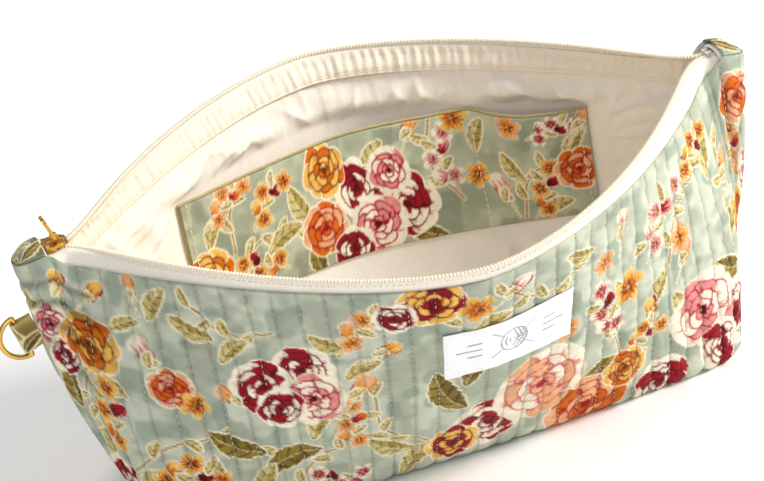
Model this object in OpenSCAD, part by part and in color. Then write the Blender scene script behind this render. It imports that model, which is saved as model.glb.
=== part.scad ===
// Zip-top knitting bag with a boxed base, standing with its mouth open.
// X runs along the bag, -Y is the front with the label, Z is up.
// The origin is the middle of the base, on the surface that the bag stands on.

/* [Mouth] */
// Half the straight distance between the two ends of the open mouth
mouth_half = 132; // [120:1:160]
// Sewn ear beyond each end of the mouth
ear_len = 19; // [14:0.5:20]
// How far the front rim bows forwards at its middle
front_bow = 102; // [70:1:112]
// How far the back rim bows backwards at its middle
back_bow = 92; // [70:1:112]
// Height of the cloth's top edge at the ends of the mouth
end_height = 107; // [85:1:150]
// Height of the front cloth's top edge at its middle
front_height = 99; // [80:1:150]
// Height of the back cloth's top edge at its middle
back_height = 115; // [85:1:160]

/* [Base] */
// Length of the boxed base
base_len = 246; // [200:1:290]
// Width of the boxed base at its ends
base_w = 90; // [70:1:120]
// How far each long edge of the base bows out at its middle
base_bow = 5; // [0:0.5:12]
// Radius of the base's corners
base_r = 22; // [12:1:30]
// How far the filled walls swell outwards at half height
wall_swell = 5; // [0:0.5:8]

/* [Cloth layers] */
// Thickness of the printed cotton
cloth_t = 1; // [0.8:0.1:1.2]
// Thickness of the wadding
wadding_t = 2.1; // [1.5:0.1:2.4]
// Thickness of the lining
lining_t = 0.8; // [0.5:0.1:1]
// Gap left between two layers
layer_gap = 0.25; // [0.15:0.05:0.3]

/* [Zip] */
// Radius of one half of the coil chain
coil_r = 1.25; // [1:0.05:1.4]
// Height of the chain above the cloth's top edge
zip_rise = 5.5; // [5:0.5:8]
// Thickness of the woven tape
tape_t = 0.6; // [0.4:0.1:0.7]
// Length of the slider
slider_len = 9; // [9:0.5:11]
// Width of the slider
slider_w = 10.6; // [10.2:0.2:11]
// Thickness of the slider's plates
plate_t = 1; // [0.8:0.1:1.2]
// Diameter of the pull's hinge bar
pull_bar_d = 1.4; // [1.2:0.1:1.6]
// Length of the pull from its hinge bar
pull_len = 10; // [10:0.5:16]
// Width of the pull
pull_w = 5.6; // [5.6:0.2:8]
// Tilt of the resting pull above the horizontal
pull_rest = 70; // [40:1:90]

/* [Inner pocket] */
// Left end of the pocket, as a share of the back panel's width
pocket_from = 0.27; // [0.15:0.01:0.32]
// Right end of the pocket, as a share of the back panel's width
pocket_to = 0.81; // [0.76:0.01:0.88]
// Stitched divider, as a share of the back panel's width
pocket_split = 0.67; // [0.55:0.01:0.7]
// Height of the pocket's bottom seam, as a share of the wall
pocket_low = 0.36; // [0.25:0.01:0.42]
// Height of the pocket's top edge, as a share of the wall
pocket_high = 0.8; // [0.7:0.01:0.84]
// How far the left compartment stands open
pocket_gape = 12.5; // [9:0.5:15]
// Thickness of the doubled pocket cloth
pocket_t = 1.6; // [1.2:0.1:2.2]

/* [Label] */
// Left end of the label, as a share of the front panel's width
label_from = 0.452; // [0.3:0.002:0.6]
// Length of the label
label_len = 58; // [40:1:70]
// Height of the label
label_h = 25; // [16:1:32]
// Height of the label's middle, as a share of the wall
label_mid = 0.66; // [0.5:0.005:0.75]
// Thickness of the label
label_t = 0.5; // [0.3:0.1:0.8]

/* [Side tab and D-ring] */
// Height of the tab's middle, as a share of the left seam
tab_place = 0.8; // [0.5:0.01:0.82]
// Width of the tab along the seam
tab_w = 13; // [10:0.5:14]
// Reach of the tab from the seam to the ring's bar
tab_reach = 5.5; // [5:0.5:8]
// Diameter of the ring's wire
ring_wire = 2; // [1.6:0.1:2.2]
// Inner width of the D-ring
ring_inner = 15; // [15:0.5:18]

/* [Hidden] */

front = -1;
back = 1;
// Exponent of the rim's bow: 2 is a parabola, less is more pointed at the middle.
bow_power = 1.65;
// Half the thickness of an ear, and the rounding of its tip.
ear_r = 6;
// How far an ear's top edge drops towards its tip.
ear_drop = 4;
half_len = mouth_half + ear_len;
wall_low = cloth_t;
// Thickness of a row of thread, and the air under it.
thread_t = 0.3;
thread_gap = 0.05;
small_q = 0.004;

// Depths of each layer below the outside of the cloth.
wadding_d = cloth_t + layer_gap;
lining_d = wadding_d + wadding_t + layer_gap;
inside_d = lining_d + lining_t;
tape_d = cloth_t + layer_gap;

// Heights where one layer hands over to the next, as shares of the wall.
wadding_top = 0.93;
lining_top = 0.925;
facing_low = 0.93;
tape_tuck = 0.945;
lining_low = 0.045;
// The facing stops this share short of the side seams.
facing_end = 0.05;

// Columns run from the left seam to the right seam, closer together round the ears.
columns = 36;
seam_q = [0, 0.008, 0.017, 0.027, 0.04];
panel_q = concat(seam_q,
    [for (i = [1:columns - 1]) 0.04 + 0.92 * i / columns],
    [for (i = [len(seam_q) - 1:-1:0]) 1 - seam_q[i]]);
wall_rows = [0, 0.06, 0.16, 0.32, 0.5, 0.68, 0.85, 1];

// ---- Curves ----

function unit(v) = v / norm(v);
function spread(a, b, n) = [for (k = [0:n]) a + (b - a) * k / n];
function clamp01(v) = min(1, max(0, v));
function smooth(a, b, v) = let (s = clamp01((v - a) / (b - a))) s * s * (3 - 2 * s);
function bow_of(side) = side == front ? front_bow : back_bow;
function mid_height(side) = side == front ? front_height : back_height;
function openness(x, half) = max(0, 1 - pow(abs(x) / half, bow_power));

// Half thickness of the sewn ear at x, rounded at its tip.
function ear_y(x) =
    let (over = abs(x) - (half_len - ear_r))
    over <= 0 ? ear_r : sqrt(max(0, ear_r * ear_r - over * over));

// Top edge of a wall, drawn as the front one, from the left seam to the right.
function rim_point(side, x) =
    let (w = openness(x, mouth_half), tip = max(0, (abs(x) - mouth_half) / ear_len))
    [x, -(ear_y(x) + bow_of(side) * w),
     end_height + (mid_height(side) - end_height) * w - ear_drop * tip * tip];
function rim_curve(side) = [for (k = [0:240]) rim_point(side, -half_len * cos(180 * k / 240))];

// Half of the base's outline, from the left seam round the front to the right.
function base_curve() =
    let (a = base_len / 2, c = base_w / 2, r = base_r, n = 40)
    concat(
        [for (k = [0:7]) [-a, -(c - r) * k / 8]],
        [for (k = [0:12]) [-(a - r) - r * cos(k * 7.5), -(c - r) - r * sin(k * 7.5)]],
        [for (k = [1:n - 1]) let (x = (a - r) * (2 * k / n - 1))
            [x, -c - base_bow * (1 - pow(x / (a - r), 2))]],
        [for (k = [12:-1:0]) [(a - r) + r * cos(k * 7.5), -(c - r) - r * sin(k * 7.5)]],
        [for (k = [7:-1:0]) [a, -(c - r) * k / 8]]);

// Running length along a line of points, as shares of the whole.
function running(p) = [for (i = 0, s = 0; i < len(p);
    s = s + (i + 1 < len(p) ? norm(p[i + 1] - p[i]) : 0), i = i + 1) s];
function at_shares(p, shares) =
    let (run = running(p), n = len(p), whole = run[n - 1],
         table = [for (i = [0:n - 1]) [run[i] / whole, i]])
    [for (q = shares) let (k = lookup(clamp01(q), table), i = min(floor(k), n - 2), f = k - i)
        p[i] * (1 - f) + p[i + 1] * f];
function share_of_x(side, x) =
    let (p = rim_curve(side), run = running(p), whole = run[len(p) - 1])
    lookup(x, [for (i = [0:len(p) - 1]) [p[i].x, run[i] / whole]]);

// ---- Walls ----

// Rows of points on a wall at a depth below its outside, as the front wall lies.
// depth is a function of the share along the wall and the share up it.
function wall_grid(side, qs, ts, depth) =
    let (rim = rim_curve(side), base = base_curve(), n = len(qs),
         before = [for (q = qs) q - small_q], after = [for (q = qs) q + small_q],
         top = at_shares(rim, qs), top_a = at_shares(rim, before), top_b = at_shares(rim, after),
         low = at_shares(base, qs), low_a = at_shares(base, before), low_b = at_shares(base, after))
    [for (t = ts) [for (i = [0:n - 1])
        let (swell = out_normal(low_b[i] - low_a[i]) * wall_swell * sin(180 * t),
             here = low[i] * (1 - t) + [top[i].x, top[i].y] * t + swell,
             way = (low_b[i] - low_a[i]) * (1 - t)
                 + ([top_b[i].x, top_b[i].y] - [top_a[i].x, top_a[i].y]) * t,
             out = qs[i] <= 0 ? [-1, 0] : qs[i] >= 1 ? [1, 0] : out_normal(way),
             p = here - out * depth(qs[i], t))
        [p.x, qs[i] <= 0 || qs[i] >= 1 ? 0 : min(0, p.y), wall_low + (top[i].z - wall_low) * t]]];
function out_normal(way) = unit([way.y, -way.x]);

// A closed shell between an outer and an inner grid of points.
module shell(outer, inner) {
    rows = len(outer);
    cols = len(outer[0]);
    off = rows * cols;
    function o(r, c) = r * cols + c;
    function i(r, c) = off + r * cols + c;
    function quad(a, b, c, d) = [[a, b, c], [a, c, d]];
    faces = [
        for (r = [0:rows - 2], c = [0:cols - 2])
            each concat(quad(o(r, c), o(r + 1, c), o(r + 1, c + 1), o(r, c + 1)),
                        quad(i(r, c), i(r, c + 1), i(r + 1, c + 1), i(r + 1, c))),
        for (c = [0:cols - 2])
            each concat(quad(o(0, c), o(0, c + 1), i(0, c + 1), i(0, c)),
                        quad(o(rows - 1, c + 1), o(rows - 1, c), i(rows - 1, c), i(rows - 1, c + 1))),
        for (r = [0:rows - 2])
            each concat(quad(o(r + 1, 0), o(r, 0), i(r, 0), i(r + 1, 0)),
                        quad(o(r, cols - 1), o(r + 1, cols - 1), i(r + 1, cols - 1), i(r, cols - 1)))
    ];
    polyhedron(points = concat([for (row = outer) each row], [for (row = inner) each row]),
        faces = faces, convexity = 8);
}

// A wall layer of even thickness between two heights.
module layer(side, qs, ts, depth, t) {
    placed(side) shell(
        wall_grid(side, qs, ts, function (q, h) depth),
        wall_grid(side, qs, ts, function (q, h) depth + t));
}

// What is drawn for the front is turned over to make the back.
module placed(side) {
    if (side == front) children();
    else mirror([0, 1, 0]) children();
}

module panel(side) {
    layer(side, panel_q, wall_rows, 0, cloth_t);
}

module wadding(side) {
    layer(side, panel_q, [0.03, 0.06, 0.16, 0.32, 0.5, 0.68, 0.85, wadding_top], wadding_d, wadding_t);
}

module lining(side) {
    layer(side, panel_q, [lining_low, 0.06, 0.16, 0.32, 0.5, 0.68, 0.85, lining_top],
        lining_d, lining_t);
}

// Band of lining cloth that covers the zip's seam on the inside.
module facing(side) {
    edge_d = tape_d + tape_t + 2 * layer_gap;
    function depth(t) = t < 0.99 ? lining_d : edge_d;
    rows = [facing_low, 0.965, 0.98, 0.995];
    zip_q = [for (q = panel_q) if (q >= facing_end && q <= 1 - facing_end) q];
    placed(side) shell(
        wall_grid(side, zip_q, rows, function (q, t) depth(t)),
        wall_grid(side, zip_q, rows, function (q, t) depth(t) + lining_t));
}

module front_panel() { color("#A9B29C") panel(front); }
module back_panel() { color("#A9B29C") panel(back); }
module front_wadding() { color("white") wadding(front); }
module back_wadding() { color("white") wadding(back); }
module front_lining() { color("#F2EBE0") lining(front); }
module back_lining() { color("#F2EBE0") lining(back); }
module front_facing() { color("#EFE4D0") facing(front); }
module back_facing() { color("#EFE4D0") facing(back); }

// ---- Base ----

// The base's outline, moved inwards.
function base_outline(inset) =
    let (p = base_curve(), n = len(p),
         half = [for (i = [0:n - 1])
             let (way = p[min(n - 1, i + 1)] - p[max(0, i - 1)],
                  out = i == 0 ? [-1, 0] : i == n - 1 ? [1, 0] : out_normal(way))
             p[i] - out * inset])
    concat(half, [for (i = [n - 2:-1:1]) [half[i].x, -half[i].y]]);

module base_slab(inset, low, t) {
    translate([0, 0, low])
        linear_extrude(height = t)
            polygon(base_outline(inset));
}

base_wadding_low = cloth_t + layer_gap;
base_lining_low = base_wadding_low + wadding_t + layer_gap;

module base_panel() { color("#A9B29C") base_slab(0, 0, cloth_t); }
module base_wadding() { color("white") base_slab(lining_d + 1.5, base_wadding_low, wadding_t); }
module base_lining() { color("#EDE6D8") base_slab(lining_d, base_lining_low, lining_t); }

// ---- Inner pocket ----

pocket_q = concat(spread(pocket_from, pocket_split, 17),
    [for (q = spread(pocket_split, pocket_to, 9)) if (q > pocket_split) q]);
pocket_rows = spread(pocket_low, pocket_high, 6);
// The right compartment is narrower and stands open less.
small_gape = pocket_gape * 0.75;

// How far the pocket stands away from the lining.
function gape_at(q, t) =
    let (left = q < pocket_split,
         along = left ? (q - pocket_from) / (pocket_split - pocket_from)
                      : (q - pocket_split) / (pocket_to - pocket_split),
         up = clamp01((t - pocket_low) / (pocket_high - pocket_low)))
    (left ? pocket_gape : small_gape) * sin(180 * clamp01(along)) * sin(90 * up);
function pocket_d(q, t) = inside_d + layer_gap + gape_at(q, t);

module pocket_skin(qs, rows, from_d, t) {
    placed(back) shell(
        wall_grid(back, qs, rows, function (q, h) pocket_d(q, h) + from_d),
        wall_grid(back, qs, rows, function (q, h) pocket_d(q, h) + from_d + t));
}

module pocket_panel() { color("#A9B29C") pocket_skin(pocket_q, pocket_rows, 0, pocket_t); }

// Folded edge above the pocket's cloth.
module pocket_binding() {
    color("#D9C48A")
        pocket_skin(pocket_q, [pocket_high + 0.002, pocket_high + 0.022], 0, pocket_t);
}

// Row of thread lying on the pocket, at one share of the panel's width.
module pocket_thread(q) {
    pocket_skin([q - 0.001, q + 0.001], [for (t = pocket_rows) if (t < pocket_high) t],
        pocket_t + thread_gap, thread_t);
}

module pocket_divider_stitching() { color("#E8DCC0") pocket_thread(pocket_split); }
module pocket_side_stitching() {
    color("#E8DCC0") {
        pocket_thread(pocket_from + 0.006);
        pocket_thread(pocket_to - 0.006);
    }
}

// ---- Zip ----

// Half the gap between the two coils' middles where they mesh.
mesh_half = coil_r + 0.35;
// The coils part a little past the mouth's ends, and start gently.
part_half = mouth_half + 1.5;
part_soft = 0.15;
// How much further out than the cloth's edge the coil stands at the rim's middle.
coil_lean = 6;
chain_z = end_height + zip_rise;
// The slider stands just past the mouth's left end, with its stop behind it.
slider_past = 1.2;
slider_x = -mouth_half - slider_past;
stop_len = 1.2;
stop_gap = 0.2;
cover_in = mouth_half + slider_past + slider_len / 2 + stop_len + 2 * stop_gap;
zip_half = cover_in + 0.5;

function coil_point(side, x) =
    let (w = openness(x, part_half), soft = 1 - exp(-w / part_soft))
    [x, -(mesh_half + (bow_of(side) + coil_lean) * w * soft),
     chain_z + (mid_height(side) - end_height) * w * soft * soft];

// A round tube along a line of points that runs along X.
module tube(path, r) {
    sides = 8;
    n = len(path);
    rings = [for (k = [0:n - 1])
        let (way = path[min(n - 1, k + 1)] - path[max(0, k - 1)], across = unit([-way.y, way.x, 0]))
        [for (s = [0:sides - 1]) path[k] + r * (cos(360 * s / sides) * across
            + [0, 0, sin(360 * s / sides)])]];
    function id(k, s) = k * sides + (s % sides);
    faces = concat(
        [[for (s = [0:sides - 1]) id(0, s)]],
        [[for (s = [sides - 1:-1:0]) id(n - 1, s)]],
        [for (k = [0:n - 2], s = [0:sides - 1])
            each [[id(k, s), id(k + 1, s), id(k + 1, s + 1)], [id(k, s), id(k + 1, s + 1), id(k, s + 1)]]]);
    polyhedron(points = [for (ring = rings) each ring], faces = faces, convexity = 8);
}

// Stations along the zip, closer together near its ends.
coil_x = [for (k = [0:58]) -zip_half * sin(90 * cos(180 * k / 58))];

module coil(side) {
    placed(side) tube([for (x = coil_x) coil_point(side, x)], coil_r);
}

// Level part of the tape beside the coil, at the zip's ends.
tape_shelf = 4.4;

// The tape leaves the coil level at the ends, and turns down into the wall elsewhere.
function tape_rows(side, face) =
    let (q0 = share_of_x(side, -zip_half), n = 44,
         qs = [for (k = [0:n]) q0 + (1 - 2 * q0) * (1 - sin(90 * cos(180 * k / n))) / 2],
         depth = tape_d + (face > 0 ? 0 : tape_t),
         hung = wall_grid(side, qs, [tape_tuck, 1], function (q, t) depth),
         mean = wall_grid(side, qs, [1], function (q, t) tape_d + tape_t / 2)[0],
         rim = at_shares(rim_curve(side), qs))
    concat(hung, [for (row = [1, 0]) [for (i = [0:n])
        let (c = coil_point(side, mean[i].x), w = openness(rim[i].x, part_half),
             flat = 1 - smooth(0.06, 0.25, w), out = [0, -1, 0],
             down = unit(mean[i] - c), start = c + (coil_r + 2 * layer_gap) * unit(flat * out + (1 - flat) * down),
             bend = start + flat * out * tape_shelf + (1 - flat) * (mean[i] - start) / 2,
             turn = unit(flat * ([0, 0, 1] + row * out) + (1 - flat) * out))
        (row == 1 ? bend : start) + face * turn * tape_t / 2]]);

module tape(side) {
    placed(side) shell(tape_rows(side, 1), tape_rows(side, -1));
}

module zip_tape_front() { color("#EADFC8") tape(front); }
module zip_tape_back() { color("#EADFC8") tape(back); }
module zip_coil_front() { color("#E3CFA0") coil(front); }
module zip_coil_back() { color("#E3CFA0") coil(back); }

// Slider: two plates joined by a post at its nose, with flanges at its tail.
plate_gap = 2 * coil_r + 0.8;
nose_cut = 3;
post_r = 0.9;
post_x = slider_x + 0.3 * slider_len;
lug_r = 1.7;
lug_foot = 6.8;
flange_len = 4;
flange_t = 0.8;
tape_slit = tape_t + 0.5;
lug_w = 2.4;
bar_fit = 0.08;
bar_z = chain_z + plate_gap / 2 + plate_t + lug_r - 0.1;
// The pull's arms end in its tongue, which has a round hole.
arm_len = 5;
pull_hole_r = 1.4;

module slider_plate(z) {
    translate([slider_x, 0, z])
        linear_extrude(height = plate_t)
            difference() {
                square([slider_len, slider_w], center = true);
                for (s = [-1, 1])
                    translate([slider_len / 2, s * slider_w / 2])
                        rotate(45)
                            square(nose_cut, center = true);
            }
}

module zip_slider() {
    tail = slider_x - slider_len / 2;
    color("#C9A25A") {
        difference() {
            union() {
                slider_plate(chain_z + plate_gap / 2);
                slider_plate(chain_z - plate_gap / 2 - plate_t);
                translate([post_x, 0, chain_z - plate_gap / 2])
                    cylinder(h = plate_gap, r = post_r, $fn = 32);
                for (s = [-1, 1])
                    translate([tail, s < 0 ? -slider_w / 2 : slider_w / 2 - flange_t,
                               chain_z - plate_gap / 2])
                        cube([flange_len, flange_t, plate_gap]);
                // Lug that carries the pull's bar.
                translate([slider_x, -lug_w / 2, bar_z])
                    rotate([-90, 0, 0])
                        cylinder(h = lug_w, r = lug_r, $fn = 48);
                translate([slider_x - lug_foot / 2, -lug_w / 2, chain_z + plate_gap / 2])
                    cube([lug_foot, lug_w, bar_z - pull_bar_d / 2 - bar_fit - 0.2 - chain_z - plate_gap / 2]);
            }
            translate([slider_x, -lug_w, bar_z])
                rotate([-90, 0, 0])
                    cylinder(h = 2 * lug_w, r = pull_bar_d / 2 + bar_fit, $fn = 48);
            translate([tail - 1, -slider_w, chain_z - tape_slit / 2])
                cube([flange_len + 1.5, 2 * slider_w, tape_slit]);
        }
    }
}

// Pull: a bar through the lug, two arms and a flat tongue with a round hole.
module zip_pull() {
    bar_r = pull_bar_d / 2;
    tongue = pull_len - arm_len;
    color("#B98545")
        translate([slider_x, 0, bar_z])
            rotate([0, -(90 - pull_rest), 0]) {
                translate([0, -pull_w / 2, 0])
                    rotate([-90, 0, 0])
                        cylinder(h = pull_w, r = bar_r, $fn = 32);
                for (s = [-1, 1])
                    translate([-bar_r, s * (pull_w / 2 - bar_r) - bar_r, 0])
                        cube([pull_bar_d, pull_bar_d, arm_len + 0.2]);
                difference() {
                    union() {
                        translate([-bar_r, -pull_w / 2, arm_len])
                            cube([pull_bar_d, pull_w, tongue - pull_w / 2]);
                        translate([-bar_r, 0, pull_len - pull_w / 2])
                            rotate([0, 90, 0])
                                cylinder(h = pull_bar_d, r = pull_w / 2, $fn = 48);
                    }
                    translate([-pull_bar_d, 0, pull_len - pull_w / 2])
                        rotate([0, 90, 0])
                            cylinder(h = 2 * pull_bar_d, r = pull_hole_r, $fn = 48);
                }
            }
}

// Both kinds of stop lie on the coils.
stop_t = 0.8;
stop_fit = 0.02;
top_stop = 2.2;

// Bar pressed over the chain behind the slider.
module zip_bottom_stop() {
    color("#C9A25A")
        translate([-cover_in + stop_gap, -2 * mesh_half, chain_z + coil_r + stop_fit])
            cube([stop_len, 4 * mesh_half, stop_t]);
}

// Two small stops, one on each half at the far end.
module zip_top_stops() {
    color("#D8D5CC")
        for (s = [-1, 1])
            translate([mouth_half + 3, s * mesh_half - top_stop / 2, chain_z + coil_r + stop_fit])
                cube([top_stop, top_stop, stop_t]);
}

// Folded cotton saddle over each end of the zip.
cover_len = 4.5;
cover_t = 1.1;
cover_room = 1.2;
cover_foot = 2;
cover_shoulder = 2.6;
module end_cover(x) {
    w = mesh_half + coil_r + tape_shelf + cover_room;
    top = chain_z + coil_r + 0.4;
    low = end_height - cover_t;
    bend = chain_z - 0.3;
    function arch(more) = [[-w + cover_foot - more, low], [-w - more, bend],
        [-w + cover_shoulder - more, top + more], [w - cover_shoulder + more, top + more],
        [w + more, bend], [w - cover_foot + more, low]];
    translate([x, 0, 0])
        rotate([90, 0, 90])
            linear_extrude(height = cover_len)
                polygon(concat(arch(cover_t), [for (i = [5:-1:0]) arch(0)[i]]));
}

module zip_end_cover_left() { color("white") end_cover(-cover_in - cover_len); }
module zip_end_cover_right() { color("white") end_cover(cover_in); }

// ---- Label ----

label_share = label_len / running(rim_curve(front))[240];
label_tall = label_h / (front_height - wall_low) * cos(atan(front_bow / front_height) * 0.6);
label_gap = 0.3;
label_low = label_mid - label_tall / 2;
label_high = label_mid + label_tall / 2;

module label_skin(q0, q1, t0, t1, n, m, depth, t) {
    layer(front, spread(q0, q1, n), spread(t0, t1, m), depth, t);
}

module label() {
    color("#F1F2F5")
        label_skin(label_from, label_from + label_share, label_low, label_high, 10, 4,
            -label_gap - label_t, label_t);
}

// Four rows of thread just inside the label's edges.
module label_stitching() {
    edge_q = 1.5 / label_len * label_share;
    edge_t = 1.5 / label_h * label_tall;
    depth = -label_gap - label_t - thread_gap - thread_t;
    q0 = label_from + edge_q;
    q1 = label_from + label_share - edge_q;
    t0 = label_low + edge_t;
    t1 = label_high - edge_t;
    w = 0.4;
    color("#FBFAF6") {
        for (t = [t0, t1])
            label_skin(q0, q1, t - w * edge_t / 3, t + w * edge_t / 3, 10, 1, depth, thread_t);
        for (q = [q0, q1])
            label_skin(q - w * edge_q / 3, q + w * edge_q / 3, t0 + edge_t / 2, t1 - edge_t / 2, 1, 4,
                depth, thread_t);
    }
}

// ---- Side tab and D-ring ----

seam_top = rim_point(front, -half_len);
seam_rise = seam_top.z - wall_low;
seam_lean = atan((half_len - base_len / 2) / seam_rise);
// The tab's middle on the left seam, swell included.
tab_x = -(base_len / 2 * (1 - tab_place) + half_len * tab_place) - wall_swell * sin(180 * tab_place);
tab_z = wall_low + seam_rise * tab_place;
tab_cloth = 1.1;
ring_r = ring_wire / 2;
ring_fit = 0.08;
loop_r = ring_r + ring_fit + tab_cloth;
// The seam is bent, so the tab stops this far short of it.
tab_short = 0.6;

// Places a child at the tab, with its Z along the seam.
module at_tab() {
    translate([tab_x, 0, tab_z])
        rotate([0, -seam_lean, 0])
            children();
}

module side_tab() {
    color("#8F8A4A")
        at_tab()
            translate([0, 0, -tab_w / 2])
                difference() {
                    union() {
                        translate([-tab_reach, 0, 0])
                            cylinder(h = tab_w, r = loop_r, $fn = 48);
                        translate([-tab_reach, -loop_r, 0])
                            cube([tab_reach - tab_short, 2 * loop_r, tab_w]);
                    }
                    translate([-tab_reach, 0, -1])
                        cylinder(h = tab_w + 2, r = ring_r + ring_fit, $fn = 48);
                }
}

module d_ring() {
    bend_r = ring_inner / 2 + ring_r;
    color("#D9B45A")
        at_tab()
            translate([-tab_reach, 0, 0]) {
                translate([0, 0, -bend_r])
                    cylinder(h = 2 * bend_r, r = ring_r, $fn = 48);
                rotate([90, 0, 0])
                    rotate([0, 0, 90])
                        rotate_extrude(angle = 180, $fn = 96)
                            translate([bend_r, 0])
                                circle(r = ring_r, $fn = 32);
                for (s = [-1, 1])
                    translate([0, 0, s * bend_r])
                        sphere(r = ring_r, $fn = 32);
            }
}

front_panel();
front_wadding();
front_lining();
front_facing();
back_panel();
back_wadding();
back_lining();
back_facing();
base_panel();
base_wadding();
base_lining();
pocket_panel();
pocket_binding();
pocket_divider_stitching();
pocket_side_stitching();
zip_tape_front();
zip_tape_back();
zip_coil_front();
zip_coil_back();
zip_bottom_stop();
zip_top_stops();
zip_end_cover_left();
zip_end_cover_right();
zip_slider();
zip_pull();
label();
label_stitching();
side_tab();
d_ring();
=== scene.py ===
"""Quilted cotton knitting bag with an open zip, rebuilt piece by piece on its CAD frame."""

import math
import bmesh
import bpy
import numpy as np
from mathutils import Matrix, Vector


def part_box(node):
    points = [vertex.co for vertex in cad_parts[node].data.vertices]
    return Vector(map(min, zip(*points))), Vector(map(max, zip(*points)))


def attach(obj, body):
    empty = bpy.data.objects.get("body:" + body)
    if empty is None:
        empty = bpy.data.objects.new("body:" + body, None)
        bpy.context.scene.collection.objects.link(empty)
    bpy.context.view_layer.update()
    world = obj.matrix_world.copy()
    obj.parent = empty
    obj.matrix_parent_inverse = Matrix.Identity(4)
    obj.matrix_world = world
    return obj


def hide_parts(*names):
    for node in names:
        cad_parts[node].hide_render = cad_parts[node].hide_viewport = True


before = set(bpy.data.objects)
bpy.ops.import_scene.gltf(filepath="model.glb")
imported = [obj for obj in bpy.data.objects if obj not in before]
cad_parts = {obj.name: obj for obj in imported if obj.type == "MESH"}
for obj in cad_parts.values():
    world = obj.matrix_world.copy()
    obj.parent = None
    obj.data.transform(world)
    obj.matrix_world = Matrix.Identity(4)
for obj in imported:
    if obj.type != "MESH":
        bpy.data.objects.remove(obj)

bl_info = {
    "name": "Knitting bag",
    "version": (1, 0, 0),
    "blender": (4, 5, 0),
    "location": "3D View > Sidebar > Knitting bag",
    "description": "Builds a quilted cotton knitting bag on its CAD frame",
    "category": "Object",
}

MM = 0.001


# ---- Named sizes and colours ----


def size(name, text, value):
    """A named length in millimetres."""
    return bpy.props.FloatProperty(
        name=name, description=text + ", in millimetres", default=value, min=0.0, max=1000.0, unit="NONE"
    )


def srgb(code):
    """An sRGB hex code as the linear colour that a shader takes."""
    c = [int(code[i : i + 2], 16) / 255 for i in (1, 3, 5)]
    return tuple(x / 12.92 if x <= 0.04045 else ((x + 0.055) / 1.055) ** 2.4 for x in c)


def colour(name, text, code):
    """A named colour."""
    return bpy.props.FloatVectorProperty(
        name=name, description=text, subtype="COLOR", size=3, default=srgb(code), min=0.0, max=1.0
    )


class BagSizes(bpy.types.PropertyGroup):
    """The bag's own sizes."""

    mouth_half: size("Mouth half length", "Half the distance between the open mouth's ends", 132)
    ear: size("Ear", "Length of the sewn ear past each end of the mouth", 19)
    front_bow: size("Front bow", "How far the front rim bows forwards", 102)
    back_bow: size("Back bow", "How far the back rim bows backwards", 92)
    end_height: size("End height", "Height of the cloth's edge at the mouth's ends", 107)
    front_height: size("Front height", "Height of the front rim at its middle", 99)
    back_height: size("Back height", "Height of the back rim at its middle", 115)
    base_len: size("Base length", "Length of the boxed base", 246)
    base_w: size("Base width", "Width of the base at its ends", 90)
    base_bow: size("Base bow", "How far the base's long edges bow out", 5)
    base_r: size("Base corner", "Radius of the base's corners", 22)
    swell: size("Swell", "How far the filled walls swell at half height", 5)
    channel: size("Quilting channel", "Width of one quilted channel at the rim", 10.3)
    puff: size("Quilting puff", "Depth of the quilting's valleys", 1.6)
    pucker: size("Pucker", "Height of the small puckers beside the quilting", 0.5)
    stitch: size("Stitch", "Length of one quilting stitch", 2.6)
    ear_rise: size("Ear rise", "How far the ears' cloth stands up, to hide the zip's ends", 8)
    ear_half: size("Ear half thickness", "Half the thickness of the ears' cloth at the top", 10.4)
    rim_dip: size("Rim dip", "How much more of the tape shows at the right of the front", 2.6)
    bottom_r: size("Bottom edge", "Rounding of the wall into the base", 5.5)
    fold: size("Lining fold", "Depth of the loose lining's folds", 4.2)
    coil_r: size("Coil radius", "Radius of one half of the coil chain", 1.25)
    tooth: size("Coil pitch", "Distance between two teeth of the coil", 1.35)
    zip_rise: size("Zip rise", "Height of the coils above the cloth's edge", 5.5)
    label_len: size("Label length", "Length of the woven label", 58)
    label_h: size("Label height", "Height of the woven label", 25)
    gape: size("Pocket gape", "How far the inner pocket's left part stands open", 12.5)


class BagColours(bpy.types.PropertyGroup):
    """The bag's own colours, apart from those of the printed flowers."""

    lining: colour("Lining", "Unbleached cotton lining", "#F5ECDE")
    facing: colour("Facing", "Band of lining cotton beside the zip", "#F4E7D3")
    tape: colour("Zip tape", "Woven zip tape", "#F8F1E4")
    coil: colour("Coil", "Nylon coil teeth", "#F5EAD4")
    brass: colour("Brass", "Slider, pull and ring", "#D9A24B")
    cover: colour("End cover", "Folded white cotton over the zip's ends", "#FBF8F2")
    label: colour("Label", "Woven satin label", "#FCFCFF")
    label_ink: colour("Label motif", "Generic drawing on the label", "#6F6E74")
    thread: colour("Thread", "Sewing thread", "#E9DFC8")
    binding: colour("Pocket edge", "Folded edge of the pocket", "#B7A877")
    floor: colour("Floor", "Pale floor", "#FDFDFD")


# ---- Shape of the bag ----

# Depths of the layers below the cloth's outside, as in the frame.
CLOTH, LINING, INSIDE, TAPE = 1.0, 3.6, 4.4, 1.25
TAPE_T = 0.6
# The ears' turn and fall, the bow's shape, and the coils' half width and lean.
EAR_R, EAR_DROP, BOW_POWER, MESH_HALF, COIL_LEAN = 6.0, 4.0, 1.65, 1.6, 6.0
# A wall's printed cloth laid flat, along and up.
PANEL_L, PANEL_H = 378, 118
# The pocket's left edge, divider and right edge along the wall, then its foot and top up it, as shares.
POCKET = (0.27, 0.67, 0.81, 0.36, 0.80)
POCKET_T = 1.6
# The label's left end as a share along the front wall, and its middle as a share up it.
LABEL = (0.452, 0.66)
# The wave texture's scale that gives one yarn a millimetre.
YARN_WAVE = 50 * math.pi
FRONT, BACK = -1, 1


def smooth(a, b, x):
    """An even step from 0 at a to 1 at b."""
    s = np.clip((x - a) / (b - a), 0, 1)
    return s * s * (3 - 2 * s)


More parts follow.
